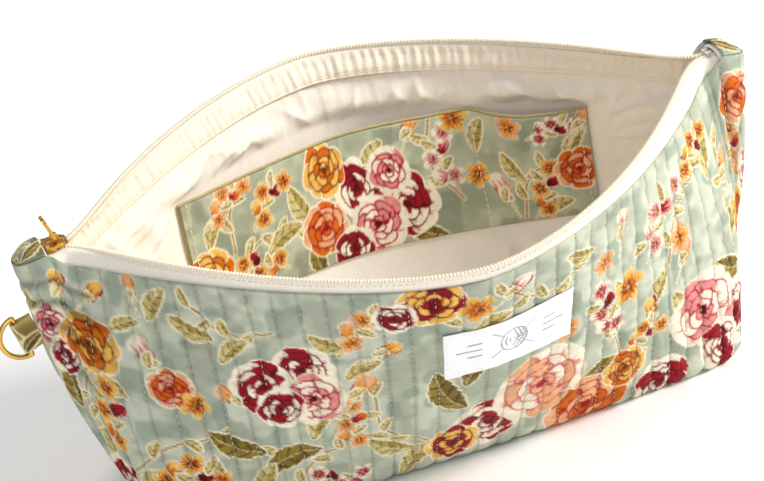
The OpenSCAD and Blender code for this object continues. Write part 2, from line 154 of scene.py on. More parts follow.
def lattice(x, y, scale, seed):
    """Smooth noise from 0 to 1, with features of about that many millimetres."""
    table = np.random.default_rng(seed).random((256, 256))
    x, y = np.asarray(x) / scale + 37.3, np.asarray(y) / scale + 61.7
    i, j = np.floor(x).astype(int), np.floor(y).astype(int)
    fx, fy = x - i, y - j
    fx, fy = fx * fx * (3 - 2 * fx), fy * fy * (3 - 2 * fy)
    a = table[i & 255, j & 255] * (1 - fx) + table[(i + 1) & 255, j & 255] * fx
    b = table[i & 255, (j + 1) & 255] * (1 - fx) + table[(i + 1) & 255, (j + 1) & 255] * fx
    return a * (1 - fy) + b * fy


def along(points, q):
    """Points at shares of a line's length."""
    run = np.concatenate([[0], np.cumsum(np.linalg.norm(np.diff(points, axis=0), axis=1))])
    return np.stack([np.interp(q, run / run[-1], points[:, k]) for k in range(points.shape[1])], -1)


def out_of(way):
    """Unit vectors square to a direction, to its right."""
    n = np.stack([way[..., 1], -way[..., 0]], -1)
    return n / np.maximum(np.linalg.norm(n, axis=-1, keepdims=True), 1e-9)


class Walls:
    """The front and back walls as functions of the share along and the share up."""

    def __init__(self, s):
        self.s = s
        self.half = s.mouth_half + s.ear
        self.lines = {side: (self.rim(side), self.base_line()) for side in (FRONT, BACK)}
        self.width = {side: self.length(self.lines[side][0]) for side in (FRONT, BACK)}

    @staticmethod
    def length(points):
        """A line's length."""
        return float(np.linalg.norm(np.diff(points, axis=0), axis=1).sum())

    def bow(self, side):
        """How far a side's rim bows out."""
        return self.s.front_bow if side == FRONT else self.s.back_bow

    def mid(self, side):
        """The height of a side's rim at its middle."""
        return self.s.front_height if side == FRONT else self.s.back_height

    def rim(self, side):
        """The cloth's top edge, from the left ear's tip to the right one's."""
        s = self.s
        x = -self.half * np.cos(np.linspace(0, math.pi, 601))
        thick = EAR_R + (s.ear_half - EAR_R) * smooth(s.mouth_half - 6, s.mouth_half + 4, abs(x))
        over = np.maximum(0, abs(x) - (self.half - thick))
        ear = np.sqrt(np.maximum(0, thick**2 - over**2))
        w = np.maximum(0, 1 - (abs(x) / s.mouth_half) ** BOW_POWER)
        tip = np.maximum(0, (abs(x) - s.mouth_half) / s.ear)
        z = s.end_height + (self.mid(side) - s.end_height) * w - EAR_DROP * tip**2
        z = z + s.ear_rise * smooth(s.mouth_half - 3, s.mouth_half + 8, abs(x))
        if side == FRONT:
            z = z - s.rim_dip * smooth(20, 100, x) * smooth(s.mouth_half + 2, s.mouth_half - 14, x)
        return np.stack([x, -(ear + self.bow(side) * w), z], 1)

    def share_at(self, side, x):
        """The share along a wall's rim at a place along the bag."""
        rim, _ = self.lines[side]
        run = np.concatenate([[0], np.cumsum(np.linalg.norm(np.diff(rim, axis=0), axis=1))])
        return np.interp(x, rim[:, 0], run / run[-1])

    def foot(self, side, q, t):
        """Extra depth that rounds a wall's foot into the base."""
        rim, _ = self.lines[side]
        return bottom(self.s, CLOTH + (along(rim, q)[..., 2] - CLOTH) * t)

    def base_grid(self, count, inset, rows):
        """Rings of points in the base, from its middle out to an inset from the walls' foot."""
        edge = along(self.base_line(), np.linspace(0, 1, count))
        ring = np.concatenate([edge, edge[::-1][1:-1] * (1, -1)])
        ring = ring * (1 - inset / np.linalg.norm(ring, axis=1, keepdims=True))
        return ring[None] * np.linspace(0.02, 1, rows)[:, None, None]

    def base_line(self):
        """The front wall's foot, round half of the base from seam to seam."""
        s = self.s
        a, c, r = s.base_len / 2, s.base_w / 2, s.base_r
        turn = np.linspace(0, math.pi / 2, 25)
        x = np.linspace(-(a - r), a - r, 121)[1:-1]
        left = [(-a, -y) for y in np.linspace(0, c - r, 12)[:-1]]
        left += [(-(a - r) - r * math.cos(k), -(c - r) - r * math.sin(k)) for k in turn]
        middle = [(v, -c - s.base_bow * (1 - (v / (a - r)) ** 2)) for v in x]
        return np.array(left + middle + [(-u, v) for u, v in left[::-1]])

    def at(self, side, q, t, depth):
        """Points in millimetres at a depth below the cloth's outside."""
        q, t, depth = np.broadcast_arrays(*(np.asarray(v, float) for v in (q, t, depth)))
        rim, base = self.lines[side]
        e = 0.004
        ends = [(along(rim, np.clip(q + d, 0, 1)), along(base, np.clip(q + d, 0, 1))) for d in (-e, 0, e)]
        top, low = ends[1]
        way_top, way_low = ends[2][0] - ends[0][0], ends[2][1] - ends[0][1]
        swell = out_of(way_low) * (self.s.swell * np.sin(math.pi * t))[..., None]
        k = t[..., None]
        out = out_of(way_low * (1 - k) + way_top[..., :2] * k)
        out[q <= 0], out[q >= 1] = (-1, 0), (1, 0)
        xy = low * (1 - k) + top[..., :2] * k + swell - out * depth[..., None]
        y = np.where((q <= 0) | (q >= 1), 0, np.minimum(0, xy[..., 1]))
        z = CLOTH + (top[..., 2] - CLOTH) * t
        return np.stack([xy[..., 0], y if side == FRONT else -y, z], -1)

    def coil(self, side, x):
        """The coil's middle line."""
        w = np.maximum(0, 1 - (abs(x) / (self.s.mouth_half + 1.5)) ** BOW_POWER)
        soft = 1 - np.exp(-w / 0.15)
        y = -(MESH_HALF + (self.bow(side) + COIL_LEAN) * w * soft)
        z = self.s.end_height + self.s.zip_rise + (self.mid(side) - self.s.end_height) * w * soft**2
        return np.stack([x, y if side == FRONT else -y, z], -1)

    def zip_half(self):
        """Half the zip's length with its tucked ends."""
        return self.s.mouth_half + 8.3

    def tape(self, side, cols):
        """Rows of points down the middle of a tape, from its tuck up to its coil, with their normals."""
        s = self.s
        rim, _ = self.lines[side]
        q0 = self.share_at(side, -self.zip_half())
        q = np.linspace(q0, 1 - q0, cols)
        mean = self.at(side, q, np.ones(cols), TAPE + TAPE_T / 2)
        mean[:, 2] = np.minimum(mean[:, 2], s.end_height + (self.mid(side) - s.end_height) * (
            np.maximum(0, 1 - (abs(mean[:, 0]) / s.mouth_half) ** BOW_POWER)))
        out = np.array([0, side, 0.0])
        centre = self.coil(side, mean[:, 0])
        opening = np.maximum(0, 1 - (abs(along(rim, q)[:, 0]) / (s.mouth_half + 1.5)) ** BOW_POWER)
        flat = (1 - smooth(0.06, 0.25, opening))[:, None]
        down = mean - centre
        down /= np.linalg.norm(down, axis=1, keepdims=True)
        start = centre + (s.coil_r * 0.55) * (flat * out + (1 - flat) * down)
        bend = start + flat * out * 4.4 + (1 - flat) * (mean - start) / 2
        wave = 0.25 * (lattice(q * PANEL_L, 0 * q, 6, 70 + side) - 0.5)[:, None] * out
        rows = [self.at(side, q, np.full(cols, t), TAPE + TAPE_T / 2) for t in (0.945, 0.965, 0.985)] + [mean]
        for f in (0.25, 0.5, 0.75):
            rows.append(mean * (1 - f) ** 2 + 2 * bend * f * (1 - f) + start * f**2 + wave)
        middle = np.array(rows + [start])
        # The tucked rows stay below the cloth's edge.
        top, edge = middle[2, :, 2], middle[3, :, 2]
        middle[:3, :, 2] -= (edge < top + 0.3) * (top + 0.6 - edge)
        normal = np.cross(np.gradient(middle, axis=1), np.gradient(middle, axis=0))
        normal /= np.linalg.norm(normal, axis=-1, keepdims=True)
        if normal[0, cols // 2] @ out < 0:
            normal = -normal
        return q, middle, normal


# ---- Meshes ----


def make(name, points, faces, uv=None, paint=None):
    """A smooth mesh object from points in millimetres, with its own UV map in metres and its own paint."""
    mesh = bpy.data.meshes.new(name)
    mesh.from_pydata([tuple(p) for p in (np.asarray(points) * MM).tolist()], [], faces)
    if uv is not None:
        index = np.zeros(len(mesh.loops), np.int32)
        mesh.loops.foreach_get("vertex_index", index)
        layer = mesh.uv_layers.new(name="Cloth")
        layer.data.foreach_set("uv", (np.asarray(uv, np.float32) * MM)[index].ravel())
    if paint is not None:
        layer = mesh.color_attributes.new("Print", "FLOAT_COLOR", "POINT")
        rgba = np.ones((len(points), 4), np.float32)
        rgba[:, :3] = paint
        layer.data.foreach_set("color", rgba.ravel())
    mesh.shade_smooth()
    mesh.update()
    if mesh.validate():
        raise RuntimeError(name + " has faces that Blender had to mend")
    obj = bpy.data.objects.new(name, mesh)
    bpy.context.scene.collection.objects.link(obj)
    return obj


def strip(a, b):
    """Quads between two rows of the same number of point numbers."""
    return np.stack([a[:-1], b[:-1], b[1:], a[1:]], 1).tolist()


def shell_faces(rows, cols, back_rows):
    """Faces of a closed shell. Its outer grid comes first, and its inner one has the same columns."""
    outer = np.arange(rows * cols).reshape(rows, cols)
    inner = rows * cols + np.arange(back_rows * cols).reshape(back_rows, cols)
    faces = [f for r in range(rows - 1) for f in strip(outer[r], outer[r + 1])]
    faces += [f for r in range(back_rows - 1) for f in strip(inner[r + 1], inner[r])]
    faces += strip(inner[0], outer[0]) + strip(outer[-1], inner[-1])
    faces.append(outer[:, 0].tolist()[::-1] + inner[:, 0].tolist())
    faces.append(outer[:, -1].tolist() + inner[:, -1].tolist()[::-1])
    return faces


def shell(name, outer, inner, uv, paint=None, flip=False):
    """A closed sheet between two grids of points. Its UV is in millimetres of cloth."""
    rows, cols = outer.shape[:2]
    faces = shell_faces(rows, cols, inner.shape[0])
    if flip:
        faces = [f[::-1] for f in faces]
    pick = np.linspace(0, rows - 1, inner.shape[0]).round().astype(int)
    points = np.concatenate([outer.reshape(-1, 3), inner.reshape(-1, 3)])
    uvs = np.concatenate([uv.reshape(-1, 2), uv[pick].reshape(-1, 2)])
    if paint is not None:
        paint = np.concatenate([paint.reshape(-1, 3), paint[pick].reshape(-1, 3)])
    return make(name, points, faces, uvs, paint)


def tube(name, path, radii, sides=12):
    """A round closed tube along a line of points in millimetres."""
    path = np.asarray(path, float)
    way = np.gradient(path, axis=0)
    way /= np.linalg.norm(way, axis=1, keepdims=True)
    side = np.cross(way, [0, 0, 1.0])
    side /= np.maximum(np.linalg.norm(side, axis=1, keepdims=True), 1e-6)
    up = np.cross(side, way)
    a = np.linspace(0, 2 * math.pi, sides, endpoint=False)[None, :, None]
    r = np.broadcast_to(np.asarray(radii, float), (len(path),))[:, None, None]
    rings = path[:, None] + r * (np.cos(a) * side[:, None] + np.sin(a) * up[:, None])
    n, faces = len(path), []
    for k in range(n - 1):
        for j in range(sides):
            m = (j + 1) % sides
            faces.append([k * sides + j, k * sides + m, (k + 1) * sides + m, (k + 1) * sides + j])
    faces.append(list(range(sides))[::-1])
    faces.append([(n - 1) * sides + j for j in range(sides)])
    run = np.concatenate([[0], np.cumsum(np.linalg.norm(np.diff(path, axis=0), axis=1))])
    uv = np.stack(np.broadcast_arrays(run[:, None], np.arange(sides)[None] * 0.8), -1)
    obj = make(name, rings.reshape(-1, 3), faces, uv.reshape(-1, 2))
    outward(obj)
    return obj


def outward(obj):
    """Turns a closed mesh's faces outwards."""
    b = bmesh.new()
    b.from_mesh(obj.data)
    bmesh.ops.recalc_face_normals(b, faces=b.faces)
    b.to_mesh(obj.data)
    b.free()


def finish_piece(obj, material, body="bag", nodes=()):
    """Gives a piece its material and slot, and sets it on its body."""
    if material is not None:
        obj.data.materials.clear()
        obj.data.materials.append(material)
    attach(obj, body)
    if nodes:
        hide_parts(*nodes)
    return obj


# ---- Materials ----


def add(tree, kind, inputs=None, **props):
    """One shader or geometry node, with its properties and its inputs' values or links."""
    node = tree.nodes.new(kind)
    for k, v in props.items():
        setattr(node, k, v)
    for k, v in (inputs or {}).items():
        if isinstance(v, bpy.types.NodeSocket):
            tree.links.new(v, node.inputs[k])
        else:
            node.inputs[k].default_value = v
    return node


def blank(name, rough, **values):
    """A material with one Principled shader, and its tree."""
    material = bpy.data.materials.new(name)
    material.use_nodes = True
    tree = material.node_tree
    tree.nodes.clear()
    shader = add(tree, "ShaderNodeBsdfPrincipled", {"Roughness": rough, **values})
    add(tree, "ShaderNodeOutputMaterial", {"Surface": shader.outputs[0]})
    return material, tree, shader


def weave_height(tree, per_mm, twill=False):
    """Height of a plain weave, or a twill, in the cloth's own millimetres."""
    uv = add(tree, "ShaderNodeUVMap", uv_map="Cloth").outputs[0]
    waves = []
    for turn in ((0.0, math.pi / 2) if not twill else (math.pi / 4, -math.pi / 4)):
        turned = add(tree, "ShaderNodeMapping", {"Vector": uv, "Rotation": (0, 0, turn)}).outputs[0]
        look = {"Scale": per_mm * YARN_WAVE, "Distortion": 1.2, "Detail": 2.0, "Detail Scale": 1.5}
        waves.append(add(tree, "ShaderNodeTexWave", {"Vector": turned, **look}).outputs["Fac"])
    return add(tree, "ShaderNodeMath", {0: waves[0], 1: waves[1]}, operation="ADD").outputs[0]


def grain(tree, scale_mm, detail=3.0):
    """Noise with features of about that many millimetres, fixed to the piece."""
    spot = add(tree, "ShaderNodeTexCoord").outputs["Object"]
    look = {"Vector": spot, "Scale": 1000 / scale_mm, "Detail": detail, "Roughness": 0.55}
    return add(tree, "ShaderNodeTexNoise", look).outputs["Fac"]


def tone(tree, base, fac, dark, light):
    """Multiplies a colour by a brightness that follows a factor."""
    span = {"Value": fac, "From Min": 0.3, "From Max": 0.7, "To Min": dark, "To Max": light}
    level = add(tree, "ShaderNodeMapRange", span).outputs[0]
    colours = {"Factor": 1.0, 6: base, 7: level}
    return add(tree, "ShaderNodeMix", colours, data_type="RGBA", blend_type="MULTIPLY").outputs[2]


def bump(tree, height, strength, mm, normal=None):
    """A surface that rises by up to that many millimetres, on top of another bump if there is one."""
    inputs = {"Height": height, "Strength": strength, "Distance": mm * MM}
    if normal is not None:
        inputs["Normal"] = normal
    return add(tree, "ShaderNodeBump", inputs).outputs[0]


def cotton(
    name, base=None, weave=2.6, rough=0.9, crinkle=0.55, mottle=(0.93, 1.06), through=0.0, twill=False
):
    """Cotton: matt, with a soft sheen at grazing angles, a fine weave and small crinkles.
    Without a colour it takes the cloth's own print."""
    look = {"Sheen Weight": 0.06, "Sheen Roughness": 0.5, "Specular IOR Level": 0.2}
    material, tree, shader = blank(name, rough, **look)
    if base is None:
        ink = add(tree, "ShaderNodeAttribute", attribute_name="Print").outputs["Color"]
    else:
        rgb = add(tree, "ShaderNodeRGB")
        rgb.outputs[0].default_value = (*base, 1)
        ink = rgb.outputs[0]
    # Slow unevenness of the dye, then the finer one of the yarn.
    ink = tone(tree, ink, grain(tree, 9), mottle[0], mottle[1])
    ink = tone(tree, ink, grain(tree, 0.7, 2), 0.965, 1.03)
    tree.links.new(ink, shader.inputs["Base Color"])
    bent = bump(tree, grain(tree, 2.4, 4), crinkle, 0.5)
    bent = bump(tree, weave_height(tree, weave, twill), 0.3, 0.08, bent)
    tree.links.new(bent, shader.inputs["Normal"])
    if through:
        shader.inputs["Subsurface Weight"].default_value = through
        shader.inputs["Subsurface Radius"].default_value = (0.004, 0.003, 0.002)
        shader.inputs["Subsurface Scale"].default_value = 0.5
    return material


def brass(name, base, rough=0.24):
    """Plated brass: bright, with the slight haze and fine scuffs of a handled fitting."""
    material, tree, shader = blank(name, rough, Metallic=1.0)
    rgb = add(tree, "ShaderNodeRGB")
    rgb.outputs[0].default_value = (*base, 1)
    tree.links.new(tone(tree, rgb.outputs[0], grain(tree, 1.2), 0.9, 1.06), shader.inputs["Base Color"])
    haze = add(
        tree, "ShaderNodeMapRange", {"Value": grain(tree, 0.6), "To Min": rough * 0.7, "To Max": rough * 1.6}
    ).outputs[0]
    tree.links.new(haze, shader.inputs["Roughness"])
    tree.links.new(bump(tree, grain(tree, 0.25), 0.15, 0.03), shader.inputs["Normal"])
    return material


def nylon(name, base):
    """Nylon coil: smooth and a little glossy, with some light passing into it."""
    material, _, shader = blank(name, 0.42, **{"Subsurface Weight": 0.15, "Subsurface Scale": 0.3})
    shader.inputs["Subsurface Radius"].default_value = (0.002, 0.0015, 0.001)
    shader.inputs["Base Color"].default_value = (*base, 1)
    return material


def thread_material(name, base):
    """Spun thread: matt and fuzzy, with a twist that shows as fine bumps."""
    material, tree, shader = blank(name, 0.85, **{"Sheen Weight": 0.2})
    shader.inputs["Base Color"].default_value = (*base, 1)
    tree.links.new(bump(tree, grain(tree, 0.3), 0.4, 0.1), shader.inputs["Normal"])
    return material


# ---- Repeats ----


def uneven_value(g, middle, by, seed):
    """A random number at most so far from a middle value."""
    low = add(g, "ShaderNodeMath", {0: middle, 1: by}, operation="SUBTRACT").outputs[0]
    high = add(g, "ShaderNodeMath", {0: middle, 1: by}, operation="ADD").outputs[0]
    node = add(g, "FunctionNodeRandomValue", {"Seed": seed}, data_type="FLOAT")
    for name, value in (("Min", low), ("Max", high)):
        socket = next(k for k in node.inputs if k.name == name and k.type == "VALUE")
        g.links.new(value, socket)
    return next(k for k in node.outputs if k.type == "VALUE")


def repeat_group():
    """Geometry nodes that set one piece at even steps along lines."""
    name = "Repeat along lines"
    if name in bpy.data.node_groups:
        return bpy.data.node_groups[name]
    g = bpy.data.node_groups.new(name, "GeometryNodeTree")
    face = g.interface
    face.new_socket("Geometry", in_out="OUTPUT", socket_type="NodeSocketGeometry")
    face.new_socket("Lines", in_out="INPUT", socket_type="NodeSocketGeometry")
    for label, kind, value in (
        ("Piece", "NodeSocketObject", None),
        ("Spacing", "NodeSocketFloat", 0.002),
        ("Turn", "NodeSocketFloat", 0.0),
        ("Size unevenness", "NodeSocketFloat", 0.1),
        ("Turn unevenness", "NodeSocketFloat", 0.05),
        ("Seed", "NodeSocketInt", 1),
        ("Material", "NodeSocketMaterial", None),
    ):
        socket = face.new_socket(label, in_out="INPUT", socket_type=kind)
        if value is not None:
            socket.default_value = value
    given = add(g, "NodeGroupInput").outputs
    curve = add(g, "GeometryNodeMeshToCurve", {0: given["Lines"]}).outputs[0]
    steps = {"Curve": curve, "Length": given["Spacing"]}
    dots = add(g, "GeometryNodeCurveToPoints", steps, mode="LENGTH").outputs
    piece = add(g, "GeometryNodeObjectInfo", {"Object": given["Piece"]}, transform_space="ORIGINAL").outputs
    random_size = uneven_value(g, 1.0, given["Size unevenness"], given["Seed"])
    random_turn = uneven_value(g, given["Turn"], given["Turn unevenness"], given["Seed"])
    lean = add(g, "ShaderNodeCombineXYZ", {"X": random_turn}).outputs[0]
    turn = add(g, "FunctionNodeEulerToRotation", {0: lean}).outputs[0]
    turns = {0: dots["Rotation"], 1: turn}
    way = add(g, "FunctionNodeRotateRotation", turns, rotation_space="LOCAL").outputs[0]
    placed = {"Points": dots["Points"], "Instance": piece["Geometry"], "Rotation": way, "Scale": random_size}
    put = add(g, "GeometryNodeInstanceOnPoints", placed).outputs[0]
    real = add(g, "GeometryNodeRealizeInstances", {0: put}).outputs[0]
    done = add(g, "GeometryNodeSetMaterial", {"Geometry": real, "Material": given["Material"]}).outputs[0]
    add(g, "NodeGroupOutput", {0: done})
    return g


def repeat(name, lines, piece, spacing, material, seed=1, turn=0.0, uneven=0.06, turn_uneven=0.05):
    """One mesh with a piece at even steps, in millimetres, along each line of points."""
    points, edges, n = [], [], 0
    for line in lines:
        points += [tuple(p) for p in (np.asarray(line) * MM).tolist()]
        edges += [(n + k, n + k + 1) for k in range(len(line) - 1)]
        n += len(line)
    mesh = bpy.data.meshes.new(name + " lines")
    mesh.from_pydata(points, edges, [])
    carrier = bpy.data.objects.new(name + " lines", mesh)
    bpy.context.scene.collection.objects.link(carrier)
    group = repeat_group()
    mod = carrier.modifiers.new("Repeat", "NODES")
    mod.node_group = group
    values = {
        "Piece": piece,
        "Spacing": spacing * MM,
        "Turn": turn,
        "Size unevenness": uneven,
        "Turn unevenness": turn_uneven,
        "Seed": seed,
        "Material": material,
    }
    for socket in group.interface.items_tree:
        if socket.in_out == "INPUT" and socket.name in values:
            mod[socket.identifier] = values[socket.name]
    bpy.context.view_layer.update()
    graph = bpy.context.evaluated_depsgraph_get()
    real = bpy.data.meshes.new_from_object(carrier.evaluated_get(graph))
    bpy.data.objects.remove(carrier)
    bpy.data.objects.remove(piece)
    if not real.polygons:
        raise RuntimeError(name + " came out empty")
    real.shade_smooth()
    obj = bpy.data.objects.new(name, real)
    bpy.context.scene.collection.objects.link(obj)
    return obj


def stitch_piece(length, radius):
    """One stitch: a thread that dives at both ends, along Z, in millimetres."""
    k = np.linspace(0, 1, 7)
    path = np.stack([np.zeros(7), np.zeros(7), (k - 0.5) * length], 1)
    radii = radius * np.sqrt(np.maximum(0.06, 1 - (2 * k - 1) ** 4))
    a = np.linspace(0, 2 * math.pi, 6, endpoint=False)
    rings = path[:, None] + radii[:, None, None] * np.stack([np.cos(a), np.sin(a), 0 * a], -1)[None]
    faces = [
        [i * 6 + j, i * 6 + (j + 1) % 6, (i + 1) * 6 + (j + 1) % 6, (i + 1) * 6 + j]
        for i in range(6)
        for j in range(6)
    ]
    faces += [list(range(6))[::-1], [36 + j for j in range(6)]]
    return make("stitch", rings.reshape(-1, 3), faces)


def tooth_piece(radius, wire):
    """One loop of the nylon coil, round Z, in millimetres."""
    a = np.linspace(0, 2 * math.pi, 14, endpoint=False)
    b = np.linspace(0, 2 * math.pi, 6, endpoint=False)
    ring = radius - wire + wire * np.cos(b)[None]
    points = np.stack(
        [ring * np.cos(a)[:, None], ring * np.sin(a)[:, None], np.broadcast_to(wire * np.sin(b), (14, 6))], -1
    )
    faces = [
        [i * 6 + j, ((i + 1) % 14) * 6 + j, ((i + 1) % 14) * 6 + (j + 1) % 6, i * 6 + (j + 1) % 6]
        for i in range(14)
        for j in range(6)
    ]
    obj = make("tooth", points.reshape(-1, 3), faces)
    outward(obj)
    return obj


# ---- The print ----

INKS = {
    "sage": "#A8AF9B", "sage light": "#C9CEBA", "sage dark": "#8B9888", "moss": "#A2A890",
    "moss light": "#BFC3A8", "moss dark": "#838A74", "halo": "#F0E6C8", "burgundy": "#5A060F",
    "crimson": "#9E1022", "rose": "#C4454E", "pink": "#E4918C", "mauve": "#B0606A", "cream": "#FAEFD8",
    "orange": "#D96C0C", "amber": "#EE9626", "gold": "#F3C060", "peach": "#F0B487", "brown": "#6B3516",
    "olive": "#9A8438", "olive light": "#D6C585", "olive dark": "#655222", "twig": "#96733A",
}
RGB = {k: np.array([int(v[i : i + 2], 16) / 255 for i in (1, 3, 5)]) for k, v in INKS.items()}
# Each flower's heart, then its dark petals and its pale ones from foot to tip, and its petals' rims.
FLOWERS = {
    "amber": ("brown", ("brown", "orange"), ("orange", "gold"), "cream"),
    "wine": ("burgundy", ("burgundy", "crimson"), ("rose", "cream"), "cream"),
    "blush": ("burgundy", ("crimson", "pink"), ("pink", "cream"), "halo"),
    "cream": ("crimson", ("rose", "peach"), ("pink", "cream"), "halo"),
    "orange": ("crimson", ("crimson", "orange"), ("amber", "peach"), "cream"),
    "ember": ("burgundy", ("burgundy", "crimson"), ("orange", "gold"), "cream"),
    "mauve": ("burgundy", ("burgundy", "mauve"), ("mauve", "cream"), "halo"),
}
# A rose's rings of petals from the outside in: how many, then shares of the radius for how far out they sit,
# their length and their width, then the share of them that is dark.
ROSE_RINGS = (
    (7, 0.66, 0.38, 0.38, 0.3),
    (6, 0.44, 0.33, 0.32, 0.5),
    (5, 0.26, 0.25, 0.23, 0.3),
    (3, 0.11, 0.16, 0.14, 0.8),
)
# Sizes of the scattered motifs as shares of the step between them.
SCATTER_SIZES = {"rose": 0.95, "spray": 1.0, "bud": 0.45, "leaf": 0.7, "daisy": 0.55, "dark leaf": 0.7}


class Print:
    """Flowers painted on cloth, in the cloth's own millimetres."""

    def __init__(self, u, v, seed, ground=("sage", "sage light", "sage dark")):
        self.shape = np.shape(u)
        self.u, self.v = np.ravel(u), np.ravel(v)
        self.rng = np.random.default_rng(seed)
        wash = 0.6 * lattice(self.u, self.v, 13, seed) + 0.4 * lattice(self.u, self.v, 4, seed + 1)
        k = smooth(0.25, 0.75, wash)[:, None]
        self.c = RGB[ground[0]] * (1 - k) + RGB[ground[1]] * k
        deep = smooth(0.62, 0.8, lattice(self.u, self.v, 8, seed + 2))[:, None] * 0.6
        self.c += (RGB[ground[2]] - self.c) * deep
        self.blot = lattice(self.u, self.v, 2.2, seed + 3)

    def near(self, x, y, reach):
        m = np.nonzero((abs(self.u - x) < reach) & (abs(self.v - y) < reach))[0]
        return m, self.u[m] - x, self.v[m] - y

    def lay(self, m, ink, alpha):
        self.c[m] += (ink - self.c[m]) * np.clip(alpha, 0, 1)[:, None]

    def petal(self, x, y, long, wide, angle, inner, outer, rim="halo", rim_w=0.8):
        """One petal: a soft egg that lightens outwards, with a pale rim."""
        m, a, b = self.near(x, y, max(long, wide) * 1.35 + rim_w + 2)
        if not len(m):
            return
        c, s = math.cos(angle), math.sin(angle)
        p, w = a * c + b * s, -a * s + b * c
        ruffle = 1 + 0.07 * np.sin(3 * np.arctan2(w, p) + self.rng.uniform(0, 6))
        r = np.sqrt((p / long) ** 2 + (w / (wide * (1 + 0.22 * p / long))) ** 2) / ruffle
        d = (1 - r) * min(long, wide)
        self.lay(m, RGB[rim], (d + rim_w) / 0.6 * 0.92)
        stroke = np.sin(w / wide * 8 + self.rng.uniform(0, 6))
        k = smooth(-0.3, 0.35, p / long + 0.3 * stroke + 0.3 * (self.blot[m] - 0.5))[:, None]
        ink = RGB[inner] * (1 - k) + RGB[outer] * k
        ink = ink * (1 + 0.1 * (self.blot[m] - 0.5))[:, None]
        vein = 0.06 * np.sin(w * 3.1 + 0.4 * p)[:, None]
        self.lay(m, ink * (1 - abs(vein)), d / 0.35 + 0.3)
        self.lay(m, ink * 0.6, np.where((d > 0) & (d < 0.5), 0.35, 0) * (p < 0.5 * long))

    def rose(self, x, y, across, kind, high=1.0):
        """A full bloom: rings of dark and pale petals round a dark heart. high flattens its rings."""
        heart, dark, pale, rim = FLOWERS[kind]
        r = across / 2
        turn = self.rng.uniform(0, 6)
        for ring, (n, out, long, wide, darkness) in enumerate(ROSE_RINGS):
            shift = self.rng.integers(0, 3)
            for k in range(n):
                t = turn + ring * 0.55 + 2 * math.pi * k / n + self.rng.uniform(-0.15, 0.15)
                o = out * r * self.rng.uniform(0.93, 1.07)
                inks = dark if (k + shift) % 3 < 3 * darkness - 0.5 + self.rng.uniform(-0.3, 0.3) else pale
                edge = (rim, 0.85) if ring == 0 else (dark[0], 0.75)
                px, py = x + o * math.cos(t), y + o * high * math.sin(t)
                self.petal(px, py, long * r, wide * r * 1.1, t, *inks, *edge)
        self.petal(x, y, 0.12 * r, 0.1 * r, turn, heart, heart, heart, 0.3)

    def daisy(self, x, y, across, kind):
        """A small open flower of five petals."""
        _, dark, pale, rim = FLOWERS[kind]
        r, turn = across / 2, self.rng.uniform(0, 6)
        for k in range(5):
            t = turn + 2 * math.pi * k / 5
            c, s = r * math.cos(t), r * math.sin(t)
            self.petal(x + 0.52 * c, y + 0.52 * s, 0.48 * r, 0.34 * r, t, *pale, rim, 0.4)
            self.petal(x + 0.3 * c, y + 0.3 * s, 0.22 * r, 0.08 * r, t, *dark, dark[1], 0.1)
        self.petal(x, y, 0.17 * r, 0.17 * r, 0, "gold", "brown", "brown", 0.2)

    def bud(self, x, y, long, angle, kind):
        """A closed bud with its green cup and a bit of stem."""
        _, dark, pale, rim = FLOWERS[kind]
        c, s = math.cos(angle), math.sin(angle)
        self.twig([(x - c * long * 1.3, y - s * long * 1.3), (x - c * long * 0.4, y - s * long * 0.4)], 0.6)
        for turn, inks in ((-0.5, dark), (0.5, pale), (0.05, pale)):
            px, py = x + c * long * 0.12, y + s * long * 0.12
            self.petal(px, py, long * 0.5, long * 0.27, angle + turn, *inks, rim, 0.35)
        self.leaf(x - c * long * 0.3, y - s * long * 0.3, long * 0.7, long * 0.32, angle + 0.6)
        self.leaf(x - c * long * 0.3, y - s * long * 0.3, long * 0.7, long * 0.32, angle - 0.6)

    def leaf(self, x, y, long, wide, angle, dark="olive", light="olive light"):
        """A pointed leaf with a pale midrib and one darker half."""
        m, a, b = self.near(x, y, long * 0.75 + 2)
        if not len(m):
            return
        c, s = math.cos(angle), math.sin(angle)
        p, w = a * c + b * s, -a * s + b * c
        w = w - 0.1 * long * np.sin(math.pi * (p / long + 0.5))
        saw = 1 - 0.16 * ((p * 6.5 / long) % 1) * (long > 12)
        half = wide / 2 * np.sin(math.pi * np.clip(p / long + 0.5, 0, 1)) ** 0.75 * saw
        d = np.where(abs(p) < long / 2, half - abs(w), -9)
        self.lay(m, RGB["halo"], (d + 0.95) / 0.6 * 0.9)
        k = (0.35 + 0.5 * (w > 0) + 0.5 * (self.blot[m] - 0.5))[:, None]
        ink = RGB[dark] * (1 - k) + RGB[light] * k
        side = 0.32 * (np.sin((abs(w) * 0.9 - p) * 30 / max(long, 12)) > 0.75)
        self.lay(m, ink * (1 - side)[:, None], d / 0.5)
        self.lay(m, RGB["halo"], np.where((abs(w) < 0.3) & (d > 0), 0.55, 0))

    def twig(self, path, width):
        """A thin stem along a few points."""
        path = np.array(path, float)
        mid, reach = path.mean(0), np.ptp(path, axis=0).max() / 2 + width + 2
        m, a, b = self.near(mid[0], mid[1], reach)
        if not len(m):
            return
        p = np.stack([a + mid[0], b + mid[1]], -1)
        d = np.full(len(m), 1e9)
        for i in range(len(path) - 1):
            e = path[i + 1] - path[i]
            k = np.clip(((p - path[i]) @ e) / max(e @ e, 1e-9), 0, 1)
            d = np.minimum(d, np.linalg.norm(p - path[i] - k[:, None] * e, axis=1))
        self.lay(m, RGB["halo"], (width / 2 + 0.7 - d) / 0.6 * 0.8)
        self.lay(m, RGB["twig"], (width / 2 - d) / 0.5)

